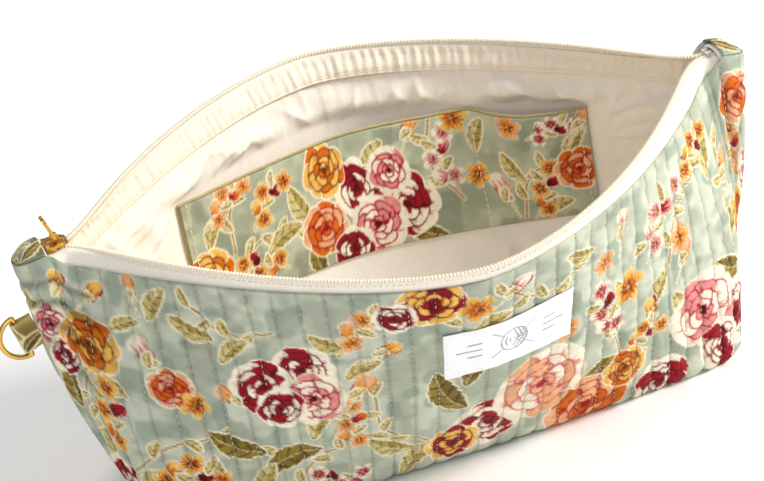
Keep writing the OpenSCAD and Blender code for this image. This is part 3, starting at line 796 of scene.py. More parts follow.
    def spray(self, x, y, long, angle, kind):
        """A thin branch of small buds and leaves."""
        bend = self.rng.uniform(-0.5, 0.5)
        t = np.linspace(0, 1, 9)
        reach, way = long * (t - 0.5), angle + bend * t
        path = np.stack([x + reach * np.cos(way), y + reach * np.sin(way)], 1)
        self.twig(path, 0.9)
        _, dark, pale, _ = FLOWERS[kind]
        n = 7
        for k in range(n):
            side = 1 if k % 2 else -1
            p = path[min(8, 1 + int(8 * k / n))]
            a = angle + bend * k / n + side * self.rng.uniform(0.6, 1.0)
            o = long * self.rng.uniform(0.12, 0.17)
            q = p + o * np.array([math.cos(a), math.sin(a)])
            self.twig([p, q], 0.45)
            if k % 3 == 2:
                self.leaf(q[0], q[1], long * 0.3, long * 0.13, a)
            elif k % 3 == 0:
                self.daisy(q[0], q[1], long * 0.36, kind)
            else:
                for turn, inks in ((-0.5, dark), (0.45, pale), (0.0, pale if k % 2 else dark)):
                    self.petal(q[0], q[1], long * 0.13, long * 0.085, a + turn, *inks, "halo", 0.5)

    def branch(self, x, y, big, angle):
        """A bowed twig with four small leaves."""
        c, s = math.cos(angle), math.sin(angle)
        k = np.linspace(-0.5, 0.5, 9)
        bow = 0.12 * big * np.cos(k * 5)
        path = np.stack([x + big * k * c - bow * s, y + big * k * s + bow * c], 1)
        self.twig(path, 1.3)
        for i, side in ((2, 1), (4, -1), (6, 1), (8, -1)):
            a = angle + side
            self.leaf(path[i][0] + 3 * math.cos(a), path[i][1] + 3 * math.sin(a), 10, 4.2, a)

    def draw(self, motifs):
        """Draws a list of motifs: kind of motif, place, size, angle and inks, and a rose's height."""
        for what, x, y, big, *rest in motifs:
            if what == "rose":
                self.rose(x, y, big, *rest)
            elif what == "daisy":
                self.daisy(x, y, big, *rest)
            elif what == "bud":
                self.bud(x, y, big, math.radians(rest[0]), rest[1])
            elif what == "leaf":
                self.leaf(x, y, big, big * 0.42, math.radians(rest[0]))
            elif what == "dark leaf":
                self.leaf(x, y, big, big * 0.42, math.radians(rest[0]), "olive dark", "olive")
            elif what == "twig":
                self.branch(x, y, big, math.radians(rest[0]))
            elif what == "spray":
                self.spray(x, y, big, math.radians(rest[0]), rest[1])
            else:
                raise ValueError("there is no motif named " + what)

    def scatter(self, width, height, step):
        """A repeat of every kind of motif over a whole cloth, for the faces turned away."""
        names = list(FLOWERS)
        kinds = ["rose", "spray", "bud", "leaf", "rose", "daisy", "dark leaf", "spray"]
        i = 0
        for y in np.arange(step * 0.4, height + step * 0.4, step * 0.86):
            i += 3
            for x in np.arange(step * 0.3, width + step * 0.5, step):
                i += 1
                px, py = x + self.rng.uniform(-0.2, 0.2) * step, y + self.rng.uniform(-0.2, 0.2) * step
                kind, ink, a = kinds[i % 8], names[(i * 5 + i // 7) % 7], self.rng.uniform(0, 360)
                for turn in (a, a + 2.4):
                    lx, ly = px + step * 0.4 * math.cos(turn), py + step * 0.4 * math.sin(turn)
                    self.draw([("leaf", lx, ly, step * 0.42, math.degrees(turn))])
                big = SCATTER_SIZES[kind] * step
                self.draw([(kind, px, py, big, ink) if kind in ("rose", "daisy") else
                           (kind, px, py, big, a) if "leaf" in kind else (kind, px, py, big, a, ink)])

    def linear(self, shade=1.0):
        """The paint as linear colour. shade is a painted shade that darkens it in the quilting's valleys and
        creases.
        """
        c = np.clip(self.c * np.reshape(shade * np.ones(self.shape), (-1, 1)), 0, 1)
        c = np.where(c <= 0.04045, c / 12.92, ((c + 0.055) / 1.055) ** 2.4)
        return c.reshape(*self.shape, 3)


FRONT_MOTIFS = [
    ("twig", 62, 38, 60, 10), ("twig", 118, 22, 50, 40), ("twig", 150, 96, 44, 20),
    ("twig", 258, 60, 50, 80), ("twig", 300, 84, 46, 50), ("twig", 20, 48, 40, 100),
    ("twig", 340, 70, 50, 100), ("twig", 214, 100, 40, 170), ("twig", 90, 100, 34, 160),
    ("twig", 150, 40, 44, 120), ("leaf", 62, 107, 18, 60), ("leaf", 74, 98, 20, 150),
    ("leaf", 90, 88, 18, 40), ("leaf", 47, 96, 15, 20), ("dark leaf", 82, 42, 28, 150),
    ("dark leaf", 104, 28, 30, 20), ("leaf", 92, 18, 24, 70), ("leaf", 72, 28, 20, 100),
    ("dark leaf", 174, 54, 32, 115), ("dark leaf", 186, 66, 26, 60), ("leaf", 161, 12, 28, 50),
    ("leaf", 148, 26, 24, 150), ("leaf", 196, 14, 24, 20), ("leaf", 329, 98, 22, 70),
    ("leaf", 299, 42, 26, 130), ("leaf", 342, 60, 24, 50), ("leaf", 44, 24, 22, 30),
    ("leaf", 20, 32, 22, 100), ("leaf", 128, 92, 18, 150), ("leaf", 190, 92, 18, 20),
    ("leaf", 232, 106, 18, 160), ("leaf", 268, 20, 24, 60), ("leaf", 350, 20, 24, 120),
    ("dark leaf", 12, 62, 24, 80), ("leaf", 6, 100, 16, 100), ("dark leaf", 250, 28, 26, 10),
    ("leaf", 36, 70, 20, 140), ("leaf", 140, 76, 18, 30), ("leaf", 284, 60, 20, 60),
    ("dark leaf", 330, 46, 26, 150), ("leaf", 366, 30, 22, 80), ("leaf", 120, 48, 22, 60),
    ("spray", 30, 50, 34, 70, "ember"), ("spray", 58, 30, 32, 10, "ember"),
    ("spray", 142, 100, 30, 30, "orange"), ("spray", 249, 62, 34, 100, "wine"),
    ("spray", 283, 92, 36, 60, "blush"), ("spray", 318, 106, 26, 10, "ember"),
    ("spray", 132, 42, 28, 80, "orange"), ("spray", 362, 74, 28, 100, "orange"),
    ("spray", 126, 10, 28, 170, "wine"), ("spray", 270, 38, 26, 20, "ember"),
    ("bud", 19, 107, 10, 80, "ember"), ("bud", 35, 108, 10, 50, "ember"),
    ("bud", 52, 113, 9, 100, "orange"), ("bud", 53, 86, 12, 120, "cream"),
    ("bud", 138, 66, 13, 60, "orange"), ("bud", 200, 108, 11, 40, "wine"),
    ("bud", 258, 105, 12, 80, "cream"), ("bud", 342, 84, 12, 60, "orange"),
    ("bud", 276, 50, 12, 100, "ember"), ("bud", 84, 66, 11, 150, "orange"),
    ("bud", 150, 86, 10, 30, "ember"), ("bud", 300, 68, 11, 60, "orange"), ("rose", 11, 90, 18, "blush"),
    ("rose", 14, 76, 17, "wine"), ("rose", 29, 84, 27, "amber", 0.92), ("rose", 60, 70, 17, "orange"),
    ("daisy", 68, 62, 13, "amber"), ("rose", 116, 78, 24, "wine"), ("rose", 98, 70, 26, "wine"),
    ("rose", 118, 62, 27, "blush"), ("rose", 104, 58, 20, "wine"), ("rose", 168, 110, 24, "ember", 0.85),
    ("rose", 154, 104, 15, "wine"), ("daisy", 184, 103, 15, "amber"), ("rose", 192, 24, 34, "wine", 0.9),
    ("rose", 176, 16, 24, "ember", 0.9), ("rose", 243, 10, 40, "orange", 0.85),
    ("rose", 216, 38, 46, "cream", 0.88), ("rose", 262, 24, 22, "amber", 0.9),
    ("daisy", 262, 70, 19, "amber"), ("daisy", 246, 92, 13, "orange"), ("rose", 330, 22, 32, "wine", 0.9),
    ("rose", 309, 34, 38, "blush", 0.88), ("rose", 318, 12, 24, "wine"), ("daisy", 298, 76, 15, "orange"),
    ("rose", 357, 48, 30, "amber", 0.9), ("rose", 20, 16, 30, "wine", 0.85), ("daisy", 72, 8, 22, "amber"),
    ("rose", 366, 100, 24, "orange", 0.9), ("rose", 284, 6, 28, "wine", 0.85),
    ("daisy", 226, 66, 14, "orange"), ("rose", 372, 66, 20, "blush"),
]
POCKET_MOTIFS = [
    ("twig", 130, 84, 40, 60), ("twig", 236, 76, 40, 100), ("twig", 280, 62, 40, 50),
    ("twig", 140, 62, 36, 10), ("leaf", 161, 74, 22, 120), ("leaf", 206, 82, 20, 50),
    ("leaf", 150, 62, 22, 20), ("dark leaf", 222, 48, 24, 150), ("leaf", 256, 84, 18, 70),
    ("leaf", 270, 70, 18, 120), ("leaf", 116, 78, 18, 60), ("leaf", 186, 48, 20, 30),
    ("leaf", 216, 70, 20, 10), ("dark leaf", 168, 48, 22, 100), ("leaf", 300, 78, 18, 60),
    ("leaf", 286, 48, 20, 20), ("spray", 122, 88, 24, 40, "orange"), ("spray", 237, 74, 28, 110, "blush"),
    ("spray", 282, 56, 28, 60, "ember"), ("spray", 290, 88, 22, 20, "wine"),
    ("spray", 142, 82, 26, 60, "ember"), ("spray", 138, 54, 26, 160, "ember"),
    ("bud", 304, 90, 10, 60, "orange"), ("bud", 262, 60, 12, 110, "cream"),
    ("bud", 226, 92, 10, 60, "orange"), ("rose", 172, 60, 25, "orange", 0.88),
    ("rose", 216, 60, 30, "wine", 0.9), ("rose", 194, 72, 26, "wine", 0.9),
    ("rose", 200, 54, 28, "blush", 0.9), ("rose", 186, 46, 20, "wine"), ("rose", 212, 76, 20, "blush"),
    ("rose", 176, 84, 24, "amber", 0.9), ("daisy", 246, 92, 13, "amber"),
    ("rose", 300, 66, 22, "orange", 0.85), ("rose", 110, 60, 22, "amber"), ("daisy", 272, 90, 13, "orange"),
    ("daisy", 252, 66, 12, "amber"),
]


# ---- Quilting and folds ----

WAVE = 0.85  # How far the quilted cloth wanders in and out between its channels.


def channels(s, width, u):
    """Place within a quilted channel, from 0 at one valley to 1 at the next."""
    n = max(1, round(width / s.channel))
    return (u / width * n) % 1.0, n


def quilt(s, width, u, v, seed):
    """Depth of the quilted cloth below its highest ridges, in millimetres."""
    k, n = channels(s, width, u)
    ridge = np.sin(math.pi * k) ** 0.5
    edge = np.minimum(1, np.minimum(u, width - u) / 4) * (0.12 + 0.88 * smooth(118.3, 113.5, v))
    beside = np.exp(-((np.minimum(k, 1 - k) * width / n / 2.6) ** 2))
    cell = np.floor(u / width * n + 0.5)
    pucker = lattice(cell * 37.0 + 0.2 * u, v, 1.9, seed) - 0.5
    soft = lattice(u, v, 9, seed + 5) - 0.5
    return edge * (s.puff * (0.62 - ridge) - 2 * s.pucker * pucker * beside - WAVE * soft) + 0.1


def valley(s, u, v, seed):
    """Depth of the stitches, which lie a little above the quilting's valleys."""
    press = s.puff * 0.62 * (0.12 + 0.88 * smooth(118.3, 113.5, v))
    return press - 0.24 - WAVE * (lattice(u, v, 9, seed) - 0.5)


def creases(u, v, lines):
    """Grooves along straight lines: two ends, depth and width, in the cloth's millimetres."""
    total = np.zeros(np.shape(u))
    for x0, y0, x1, y1, deep, wide in lines:
        e = np.array([x1 - x0, y1 - y0], float)
        long = math.hypot(*e)
        e /= long
        p = (u - x0) * e[0] + (v - y0) * e[1]
        w = -(u - x0) * e[1] + (v - y0) * e[0]
        ends = smooth(-0.15 * long, 0.2 * long, p) * smooth(1.15 * long, 0.8 * long, p)
        total += deep * np.exp(-((w / wide) ** 2)) * ends
    return total


def pinch(u, v):
    """Creases where both walls are pinched together at the ears, and soft ones low down."""
    left = [(1, 110, 34, 105, 1.5, 1.7), (1, 102, 38, 93, 1.8, 1.8)]
    left += [(3, 94, 34, 80, 1.4, 2.0), (5, 86, 24, 60, 1.1, 2.2)]
    right = [(377, 106, 360, 98, 1.3, 1.9), (376, 95, 362, 80, 1.2, 2.2), (356, 112, 364, 40, 1.0, 2.6)]
    low = [(60, 12, 96, 4, 0.7, 3.0), (240, 10, 290, 3, 0.7, 3.0)]
    return creases(u, v, left + right + low)


# The loose lining's folds: the angle of each set, then how long and how wide they are.
FOLD_WAYS = ((0.5, 26, 8), (-0.7, 34, 10), (1.2, 30, 9))


def folds(u, v, seed):
    """Soft folds of loose cloth, from 0 to about 1."""
    total = 0
    for k, (angle, long, short) in enumerate(FOLD_WAYS):
        c, s = math.cos(angle), math.sin(angle)
        a, b = (u * c + v * s) / long, (-u * s + v * c) / short
        b = b + 1.2 * lattice(u, v, 30, seed + 10 + k)
        n = lattice(a, b, 1.0, seed + k)
        total = total + (1 - abs(2 * n - 1)) ** 2.2 * (0.6, 0.5, 0.4)[k]
    return total


def bottom(s, z):
    """Extra depth that rounds the foot of a wall into the base."""
    r = s.bottom_r
    k = np.clip((z - 0.3) / r, 0, 1)
    return r * (1 - np.sqrt(np.maximum(0, 1 - (1 - k) ** 2)))


def bag():
    """The bag's sizes, its colours and its walls."""
    scene = bpy.context.scene
    return scene.bag_sizes, scene.bag_colours, Walls(scene.bag_sizes)


def density():
    return 1.0


def grid(cols, rows, q0=0.0, q1=1.0, t0=0.0, t1=1.0):
    """Shares along and up a wall, at evenly spaced points."""
    cols, rows = max(8, int(cols * density())), max(3, int(rows * density()))
    q, t = np.meshgrid(np.linspace(q0, q1, cols), np.linspace(t0, t1, rows))
    return q, t


# ---- Pieces ----


def disc(name, low, high):
    """A closed layer of the base between two grids of rings, printed all over."""
    rows, cols = low.shape[:2]
    n = rows * cols
    ring = np.arange(cols)
    nxt = (ring + 1) % cols
    faces = []
    for r in range(rows - 1):
        a, b = r * cols, (r + 1) * cols
        faces += np.stack([a + ring, a + nxt, b + nxt, b + ring], 1).tolist()
        faces += np.stack([n + b + ring, n + b + nxt, n + a + nxt, n + a + ring], 1).tolist()
    e = (rows - 1) * cols
    faces += np.stack([e + ring, e + nxt, n + e + nxt, n + e + ring], 1).tolist()
    faces += [ring.tolist()[::-1], (n + ring).tolist()]
    points = np.concatenate([low.reshape(-1, 3), high.reshape(-1, 3)])
    art = Print(points[:, 0] + 130, points[:, 1] + 60, 77)
    art.scatter(260, 120, 34)
    obj = make(name, points, faces, points[:, :2], art.linear())
    outward(obj)
    return obj


class BAG_OT_outer_cloth(bpy.types.Operator):
    """Printed and quilted cotton of the two walls and the base"""

    bl_idname = "bag.outer_cloth"
    bl_label = "Outer cloth"

    def execute(self, context):
        s, _, w = bag()
        material = cotton("Printed quilting cotton")
        thread = thread_material("Quilting thread", srgb("#C2C5B1"))
        for side, name in ((FRONT, "front_panel"), (BACK, "back_panel")):
            width = w.width[side]
            q, t = grid(576, 156)
            u, v = q * PANEL_L, t * PANEL_H
            crease = pinch(u, v)
            deep = quilt(s, width, q * width, v, 11 + side) + crease
            outer = w.at(side, q, t, deep + w.foot(side, q, t))
            outer[..., 2] += np.where(t <= 0, -0.6, 0)
            few = max(1, (q.shape[0] - 1) // 9)
            qi, ti = q[::few], t[::few]
            back = 1.05 + 1.4 * smooth(1.0, 0.95, ti)
            inner = w.at(side, qi, ti, back + w.foot(side, qi, ti) + crease[::few])
            inner[-1] = w.at(side, q[-1], 1.0, deep[-1] + 0.8)
            inner[0, :, 2] = outer[0, :, 2]
            art = Print(u, v, 31 if side == FRONT else 57)
            if side == FRONT:
                art.draw(FRONT_MOTIFS)
            else:
                art.scatter(PANEL_L, PANEL_H, 34)
            # Painted shade: the print is darkened in the quilting's valleys and in the pinched creases, where
            # shade falls.
            k, n = channels(s, width, q * width)
            valley_shade = np.exp(-((np.minimum(k, 1 - k) * width / n / 0.6) ** 2))
            shade = (1 - 0.13 * valley_shade) * (1 - 0.16 * np.clip(crease, 0, 2))
            uv = np.stack([u, v], -1)
            obj = shell(name + "_cloth", outer, inner, uv, art.linear(shade), flip=side == FRONT)
            outward(obj)
            finish_piece(obj, material, nodes=[name])
            # The rows of quilting stitches lie in the valleys.
            n = max(1, round(width / s.channel))
            tt = np.linspace(0.05, 0.985, 60)
            foot = bottom(s, CLOTH + 106 * tt)
            lines = [
                w.at(side, np.full(60, k / n), tt, valley(s, k / n * width, tt * PANEL_H, 16 + side) + foot)
                for k in range(1, n)
            ]
            piece = stitch_piece(s.stitch * 0.62, 0.2)
            stitches = repeat(name + "_quilting", lines, piece, s.stitch, thread, seed=3)
            finish_piece(stitches, None)
        # The walls' cloth turned in over each ear, from the zip's end to the tip.
        for sign, end in ((-1, "left"), (1, "right")):
            lo, hi = (np.array(v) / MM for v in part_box("zip_end_cover_" + end))
            start = lo[0] + 4.6 if sign < 0 else hi[0] - 4.6
            a, b = np.meshgrid(np.linspace(0, 1, 30), np.linspace(-1, 1, 37), indexing="ij")
            edges = []
            for side in (FRONT, BACK):
                q0 = w.share_at(side, start)
                tip = 0.004 if sign < 0 else 0.996
                edges.append(w.at(side, q0 + (tip - q0) * a, np.ones(a.shape), 0.45))
            f = (b[..., None] + 1) / 2
            skin = edges[0] * (1 - f) + edges[1] * f
            ruffle = 0.7 * np.sin(5 * a + 2.5 * b + sign) * np.cos(3.4 * b)
            fold = ruffle + 2.4 * smooth(0.8, 0.3, a) - 1.4 * smooth(0.7, 1.0, a)
            skin[..., 2] += (1 - b**2) ** 0.7 * fold + 0.35
            art = Print(a * 16, b * 9, 63 + sign, ("moss dark", "moss", "olive dark"))
            art.draw([("dark leaf", 5, -3, 14, 150), ("leaf", 9, 3, 13, 30), ("dark leaf", 14, -2, 9, 80)])
            uv = np.stack([a * 16, b * 9], -1)
            obj = shell(end + "_ear_fold", skin, skin - (0, 0, 0.6), uv, art.linear())
            outward(obj)
            finish_piece(obj, material)
        # The base, whose edge tucks under the rounded foot of the walls.
        flat = w.base_grid(160, 5.0, 26)
        puff = 0.35 * abs(np.sin(flat[..., 0] * math.pi / s.channel)) ** 0.5
        low = np.concatenate([flat, np.full((*flat.shape[:2], 1), 0.05)], -1)
        high = np.concatenate([flat, 0.75 + puff[..., None]], -1)
        obj = disc("base_panel_cloth", low, high)
        finish_piece(obj, material, nodes=["base_panel"])
        return {"FINISHED"}


class BAG_OT_wadding(bpy.types.Operator):
    """Cotton wadding between the printed cloth and the lining"""

    bl_idname = "bag.wadding"
    bl_label = "Wadding"

    def execute(self, context):
        _, _, w = bag()
        material = cotton("Cotton wadding", srgb("#F4F2EC"), weave=0.8, crinkle=0.6)
        for side, name in ((FRONT, "front_wadding"), (BACK, "back_wadding")):
            q, t = grid(220, 24, 0, 1, 0.03, 0.93)
            uv = np.stack([q * PANEL_L, t * PANEL_H], -1)
            foot = w.foot(side, q, t) + pinch(uv[..., 0], uv[..., 1])
            obj = shell(name + "_batting", w.at(side, q, t, 2.62 + foot), w.at(side, q, t, 3.4 + foot), uv)
            outward(obj)
            finish_piece(obj, material, nodes=[name])
        flat = w.base_grid(120, 9.0, 8)
        low = np.concatenate([flat, np.full((*flat.shape[:2], 1), 1.35)], -1)
        obj = disc("base_wadding_batting", low, low + (0, 0, 1.9))
        finish_piece(obj, material, nodes=["base_wadding"])
        return {"FINISHED"}


def pocket_gape(s, q, t):
    """How far the pocket stands off the lining, widest at the top of each of its two parts."""
    q0, split, q1, t0, t1 = POCKET
    left = q < split
    k = np.where(left, (q - q0) / (split - q0), (q - split) / (q1 - split))
    up = np.clip((t - t0) / (t1 - t0), 0, 1)
    most = np.where(left, s.gape, s.gape * 0.75)
    return most * np.sin(math.pi * np.clip(k, 0, 1)) * np.sin(math.pi / 2 * up)


class BAG_OT_lining(bpy.types.Operator):
    """Loose cotton lining with its folds, and the facings beside the zip"""

    bl_idname = "bag.lining"
    bl_label = "Lining"

    def execute(self, context):
        s, c, w = bag()
        material = cotton("Lining cotton", tuple(c.lining), crinkle=0.25, mottle=(0.985, 1.015), through=0.12)
        band = cotton("Facing cotton", tuple(c.facing), crinkle=0.3, mottle=(0.98, 1.02), through=0.1)
        thread = thread_material("Facing thread", tuple(c.thread))
        for side, tag in ((FRONT, "front"), (BACK, "back")):
            q, t = grid(420, 110, 0, 1, 0.03, 0.955)
            u, v = q * PANEL_L, t * PANEL_H
            free = smooth(0.0, 0.06, q) * smooth(1.0, 0.94, q) * smooth(0.955, 0.86, t) * smooth(0.02, 0.1, t)
            sag = folds(u, v, 90 + side) * s.fold + 1.2 * np.sin(math.pi * t)
            if side == BACK:
                q0, _, q1, t0, t1 = POCKET
                kept = smooth(q0 - 0.05, q0 + 0.005, q) * smooth(q1 + 0.05, q1 - 0.005, q)
                kept = kept * smooth(t0 - 0.14, t0 - 0.01, t) * smooth(t1 + 0.07, t1 + 0.01, t)
                sag = sag * (1 - kept)
            gather = 0.9 * smooth(0.74, 0.93, t) * (lattice(u, v * 0.1, 2.6, 44 + side) - 0.5)
            ears = smooth(0.0, 0.05, q) * smooth(1.0, 0.95, q)
            foot = w.foot(side, q, t) * 0.6
            deep = LINING + free * sag + ears * gather + foot + pinch(u, v)
            uv = np.stack([u, v], -1)
            obj = shell(tag + "_lining_cloth", w.at(side, q, t, deep), w.at(side, q, t, deep + 0.7), uv)
            outward(obj)
            finish_piece(obj, material, nodes=[tag + "_lining"])
            # Facing: a narrow band up the tape's inner side, gathered a little by its seams.
            q, middle, normal = w.tape(side, int(900 * density()))
            rows = max(8, int(30 * density()))
            place = np.linspace(0.2, 6.1, rows)
            low = np.floor(place).astype(int)
            f = (place - low)[:, None, None]
            base = middle[low] * (1 - f) + middle[low + 1] * f
            inward = -(normal[low] * (1 - f) + normal[low + 1] * f)
            k = np.linspace(0, 1, rows)[:, None]
            u, v = np.broadcast_arrays(q[None] * PANEL_L, k * 9.5)
            ruck = (lattice(u, v * 0.3, 1.9, 60 + side) - 0.5) * 1.7
            ruck = ruck + 0.45 * np.sin(u * 1.5 + 3 * lattice(u, v, 11, 6))
            ends = smooth(q[0], q[0] + 0.03, q) * smooth(q[-1], q[-1] - 0.03, q)
            belly = np.sin(math.pi * k)
            off = 0.75 + 3.0 * smooth(0.62, 0.0, k) + ends * (0.5 * ruck * (0.25 + belly) + 0.6 * belly)
            off = off - 0.4 * np.exp(-(((k - 0.1) * 9.5 / 0.7) ** 2))
            face, rear = base + inward * (off + 0.35)[..., None], base + inward * (off - 0.35)[..., None]
            band_obj = shell(tag + "_facing_band", rear, face, np.stack([u, v], -1))
            outward(band_obj)
            finish_piece(band_obj, band, nodes=[tag + "_facing"])
            at = int(round(0.1 * (rows - 1)))
            line = (face[at] + inward[at] * 0.12)[len(q) // 30 : -len(q) // 30]
            row = repeat(tag + "_facing_thread", [line], stitch_piece(1.5, 0.18), 2.2, thread, seed=8)
            finish_piece(row, None)
        flat = w.base_grid(160, 4.2, 40)
        inside = smooth(1.0, 0.85, np.linspace(0.02, 1, 40))[:, None]
        rise = 4.0 + inside * 2.6 * folds(flat[..., 0] + 200, flat[..., 1] + 100, 130)
        low = np.concatenate([flat, rise[..., None]], -1)
        obj = disc("base_lining_cloth", low, low + (0, 0, 0.7))
        finish_piece(obj, material, nodes=["base_lining"])
        return {"FINISHED"}


class BAG_OT_pocket(bpy.types.Operator):
    """Printed inner pocket with its bound edge, divider and side seams"""

    bl_idname = "bag.pocket"
    bl_label = "Pocket"

    def execute(self, context):
        s, c, w = bag()
        q0, split, q1, t0, t1 = POCKET
        material = cotton("Printed pocket cotton", crinkle=0.4)
        thread = thread_material("Pocket thread", tuple(c.thread))
        binding = cotton("Pocket binding", tuple(c.binding), crinkle=0.3)
        q, t = grid(340, 84, q0, q1, t0, t1)
        u, v = q * PANEL_L, t * PANEL_H

        def depth(q, t):
            u, v = q * PANEL_L, t * PANEL_H
            soft = smooth(q0, q0 + 0.04, q) * smooth(q1, q1 - 0.04, q) * smooth(0, 0.03, abs(q - split))
            wrinkle = soft * (1.1 * folds(u, v, 210) * smooth(t0, t0 + 0.1, t))
            return INSIDE + 0.25 + pocket_gape(s, q, t) + wrinkle

        art = Print(u, v, 71, ("moss", "moss light", "moss dark"))
        art.draw(POCKET_MOTIFS)
        back = w.at(BACK, q, t, depth(q, t))
        face = w.at(BACK, q, t, depth(q, t) + POCKET_T)
        obj = shell("pocket_cloth", face, back, np.stack([u, v], -1), art.linear())
        outward(obj)
        finish_piece(obj, material, nodes=["pocket_panel"])
        qs = np.linspace(q0, q1, 260)
        top = w.at(BACK, qs, np.full(260, t1 + 0.006), depth(qs, np.full(260, t1)) + POCKET_T / 2)
        rim = tube("pocket_edge_roll", top, 0.62 + 0.05 * np.sin(np.arange(260) * 0.7), 10)
        finish_piece(rim, binding, nodes=["pocket_binding"])
        up, beside = np.linspace(t0, t1, 60), np.full(60, q0 + 0.001)
        side_roll = w.at(BACK, beside, up, depth(beside, up) + POCKET_T * 0.7)
        hem = tube("pocket_side_fold", side_roll, 0.55, 8)
        finish_piece(hem, cotton("Pocket side fold", srgb("#8E7A3E"), crinkle=0.3))
        for name, places, node in (
            ("pocket_divider_thread", (split,), "pocket_divider_stitching"),
            ("pocket_side_thread", (q0 + 0.008, q1 - 0.008), "pocket_side_stitching"),
        ):
            tt = np.linspace(t0 + 0.01, t1 - 0.004, 50)
            columns = [np.full(50, p) for p in places]
            lines = [w.at(BACK, p, tt, depth(p, tt) + POCKET_T + 0.12) for p in columns]
            row = repeat(name, lines, stitch_piece(1.9, 0.24), 2.7, thread, seed=5)
            finish_piece(row, None, nodes=[node])
        return {"FINISHED"}


class BAG_OT_zip(bpy.types.Operator):
    """Zip tapes, nylon coils and the folded covers over their ends"""

    bl_idname = "bag.zip"
    bl_label = "Zip"

    def execute(self, context):
        s, c, w = bag()
        tape = cotton(
            "Zip tape weave", tuple(c.tape), weave=1.6, crinkle=0.15, mottle=(0.98, 1.02), twill=True
        )
        coil = nylon("Nylon coil", tuple(c.coil))
        thread = thread_material("Zip thread", tuple(c.thread))
        half = w.zip_half()
        for side, tag in ((FRONT, "front"), (BACK, "back")):
            qs, middle, normal = w.tape(side, int(420 * density()))
            uv = np.stack(np.broadcast_arrays(qs[None] * PANEL_L, np.arange(len(middle))[:, None] * 1.6), -1)
            obj = shell(tag + "_tape", middle + normal * TAPE_T / 2, middle - normal * TAPE_T / 2, uv)
            outward(obj)
            finish_piece(obj, tape, nodes=["zip_tape_" + tag])
            x = -half * np.cos(np.linspace(0, math.pi, 500))
            line = w.coil(side, x)
            core = tube(tag + "_coil_core", line, s.coil_r * 0.62, 8)
            finish_piece(core, coil)
            teeth = repeat(
                tag + "_coil_teeth", [line], tooth_piece(s.coil_r * 0.9, 0.3), s.tooth, coil,
                seed=2, turn=0.2, uneven=0.02, turn_uneven=0.03,
            )
            finish_piece(teeth, None, nodes=["zip_coil_" + tag])
            # A row of stitches on the tape beside the coil.
            f = 0.72
            beside = middle[3] * (1 - f) + middle[-1] * f + normal[5] * (TAPE_T / 2 + 0.1)
            rows = [beside[abs(beside[:, 0]) < s.mouth_half - 14]]
            row = repeat(tag + "_tape_thread", rows, stitch_piece(1.5, 0.17), 2.4, thread, seed=4)
            finish_piece(row, None)
        cover = cotton("End cover cotton", tuple(c.cover), crinkle=0.25, mottle=(0.99, 1.01))
        for sign, name in ((-1, "zip_end_cover_left"), (1, "zip_end_cover_right")):
            lo, hi = (np.array(v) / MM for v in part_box(name))
            a = np.linspace(-math.pi / 2 * 1.12, math.pi / 2 * 1.12, 61)
            half_y, low, high = hi[1] - 0.55, lo[2], hi[2] - 0.55
            y = half_y * np.sign(np.sin(a)) * abs(np.sin(a)) ** 0.75
            z = high - (high - low) * (1 - np.cos(a).clip(-1, 1)) * 0.5 * 1.25
            z = np.maximum(z, low)
            profile = np.stack([y, z], 1)
            way = np.gradient(profile, axis=0)
            n = np.stack([-way[:, 1], way[:, 0]], 1)
            n /= np.linalg.norm(n, axis=1, keepdims=True)
            if n[30, 1] < 0:
                n = -n
            # Two plies, folded along the edge that faces the mouth.
            x_in, x_out = (hi[0] + 0.3, lo[0] - 0.6) if sign < 0 else (lo[0] - 0.3, hi[0] + 0.6)
            ply, turn = 0.34, np.linspace(-math.pi / 2, math.pi / 2, 7)[1:-1]
            legs = np.linspace(0, 1, 12)
            there, round_edge = x_out + (x_in - x_out) * legs, x_in - sign * ply * np.cos(turn)
            xs = np.concatenate([there, round_edge, x_in + (x_out - x_in) * legs])
            off = np.concatenate([np.full(12, -ply), ply * np.sin(turn), np.full(12, ply)]) + 0.1
            path = np.stack([xs, off], 1)
            run = np.gradient(path, axis=0)
            run /= np.linalg.norm(run, axis=1, keepdims=True)

            def skin(more):
                px, po = path[:, 0] - run[:, 1] * more, path[:, 1] + run[:, 0] * more
                rows = [np.concatenate([np.full((61, 1), x), profile + n * o], 1) for x, o in zip(px, po)]
                return np.array(rows)

            uv = np.stack(np.meshgrid(np.arange(61) * 0.6, np.arange(len(xs)) * 0.45), -1)
            obj = shell(name + "_cloth", skin(0.24), skin(-0.24), uv)
            outward(obj)
            finish_piece(obj, cover, nodes=[name])
        return {"FINISHED"}


def from_node(name, new_name, bevel, material, body):
    """A metal piece with the CAD piece's own shape, its edges broken."""
    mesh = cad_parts[name].data.copy()
    obj = bpy.data.objects.new(new_name, mesh)
    bpy.context.scene.collection.objects.link(obj)
    b = bmesh.new()
    b.from_mesh(mesh)
    bmesh.ops.remove_doubles(b, verts=b.verts, dist=2e-6)
    bmesh.ops.dissolve_limit(b, angle_limit=math.radians(1), verts=b.verts, edges=b.edges)
    bmesh.ops.recalc_face_normals(b, faces=b.faces)
    b.to_mesh(mesh)
    b.free()
    for p in mesh.polygons:
        p.use_smooth = True
    if bevel:
        mod = obj.modifiers.new("Broken edges", "BEVEL")
        mod.width, mod.segments, mod.limit_method, mod.angle_limit = bevel * MM, 2, "ANGLE", math.radians(35)
        mod.harden_normals = False
    mesh.materials.clear()
    return finish_piece(obj, material, body, [name])


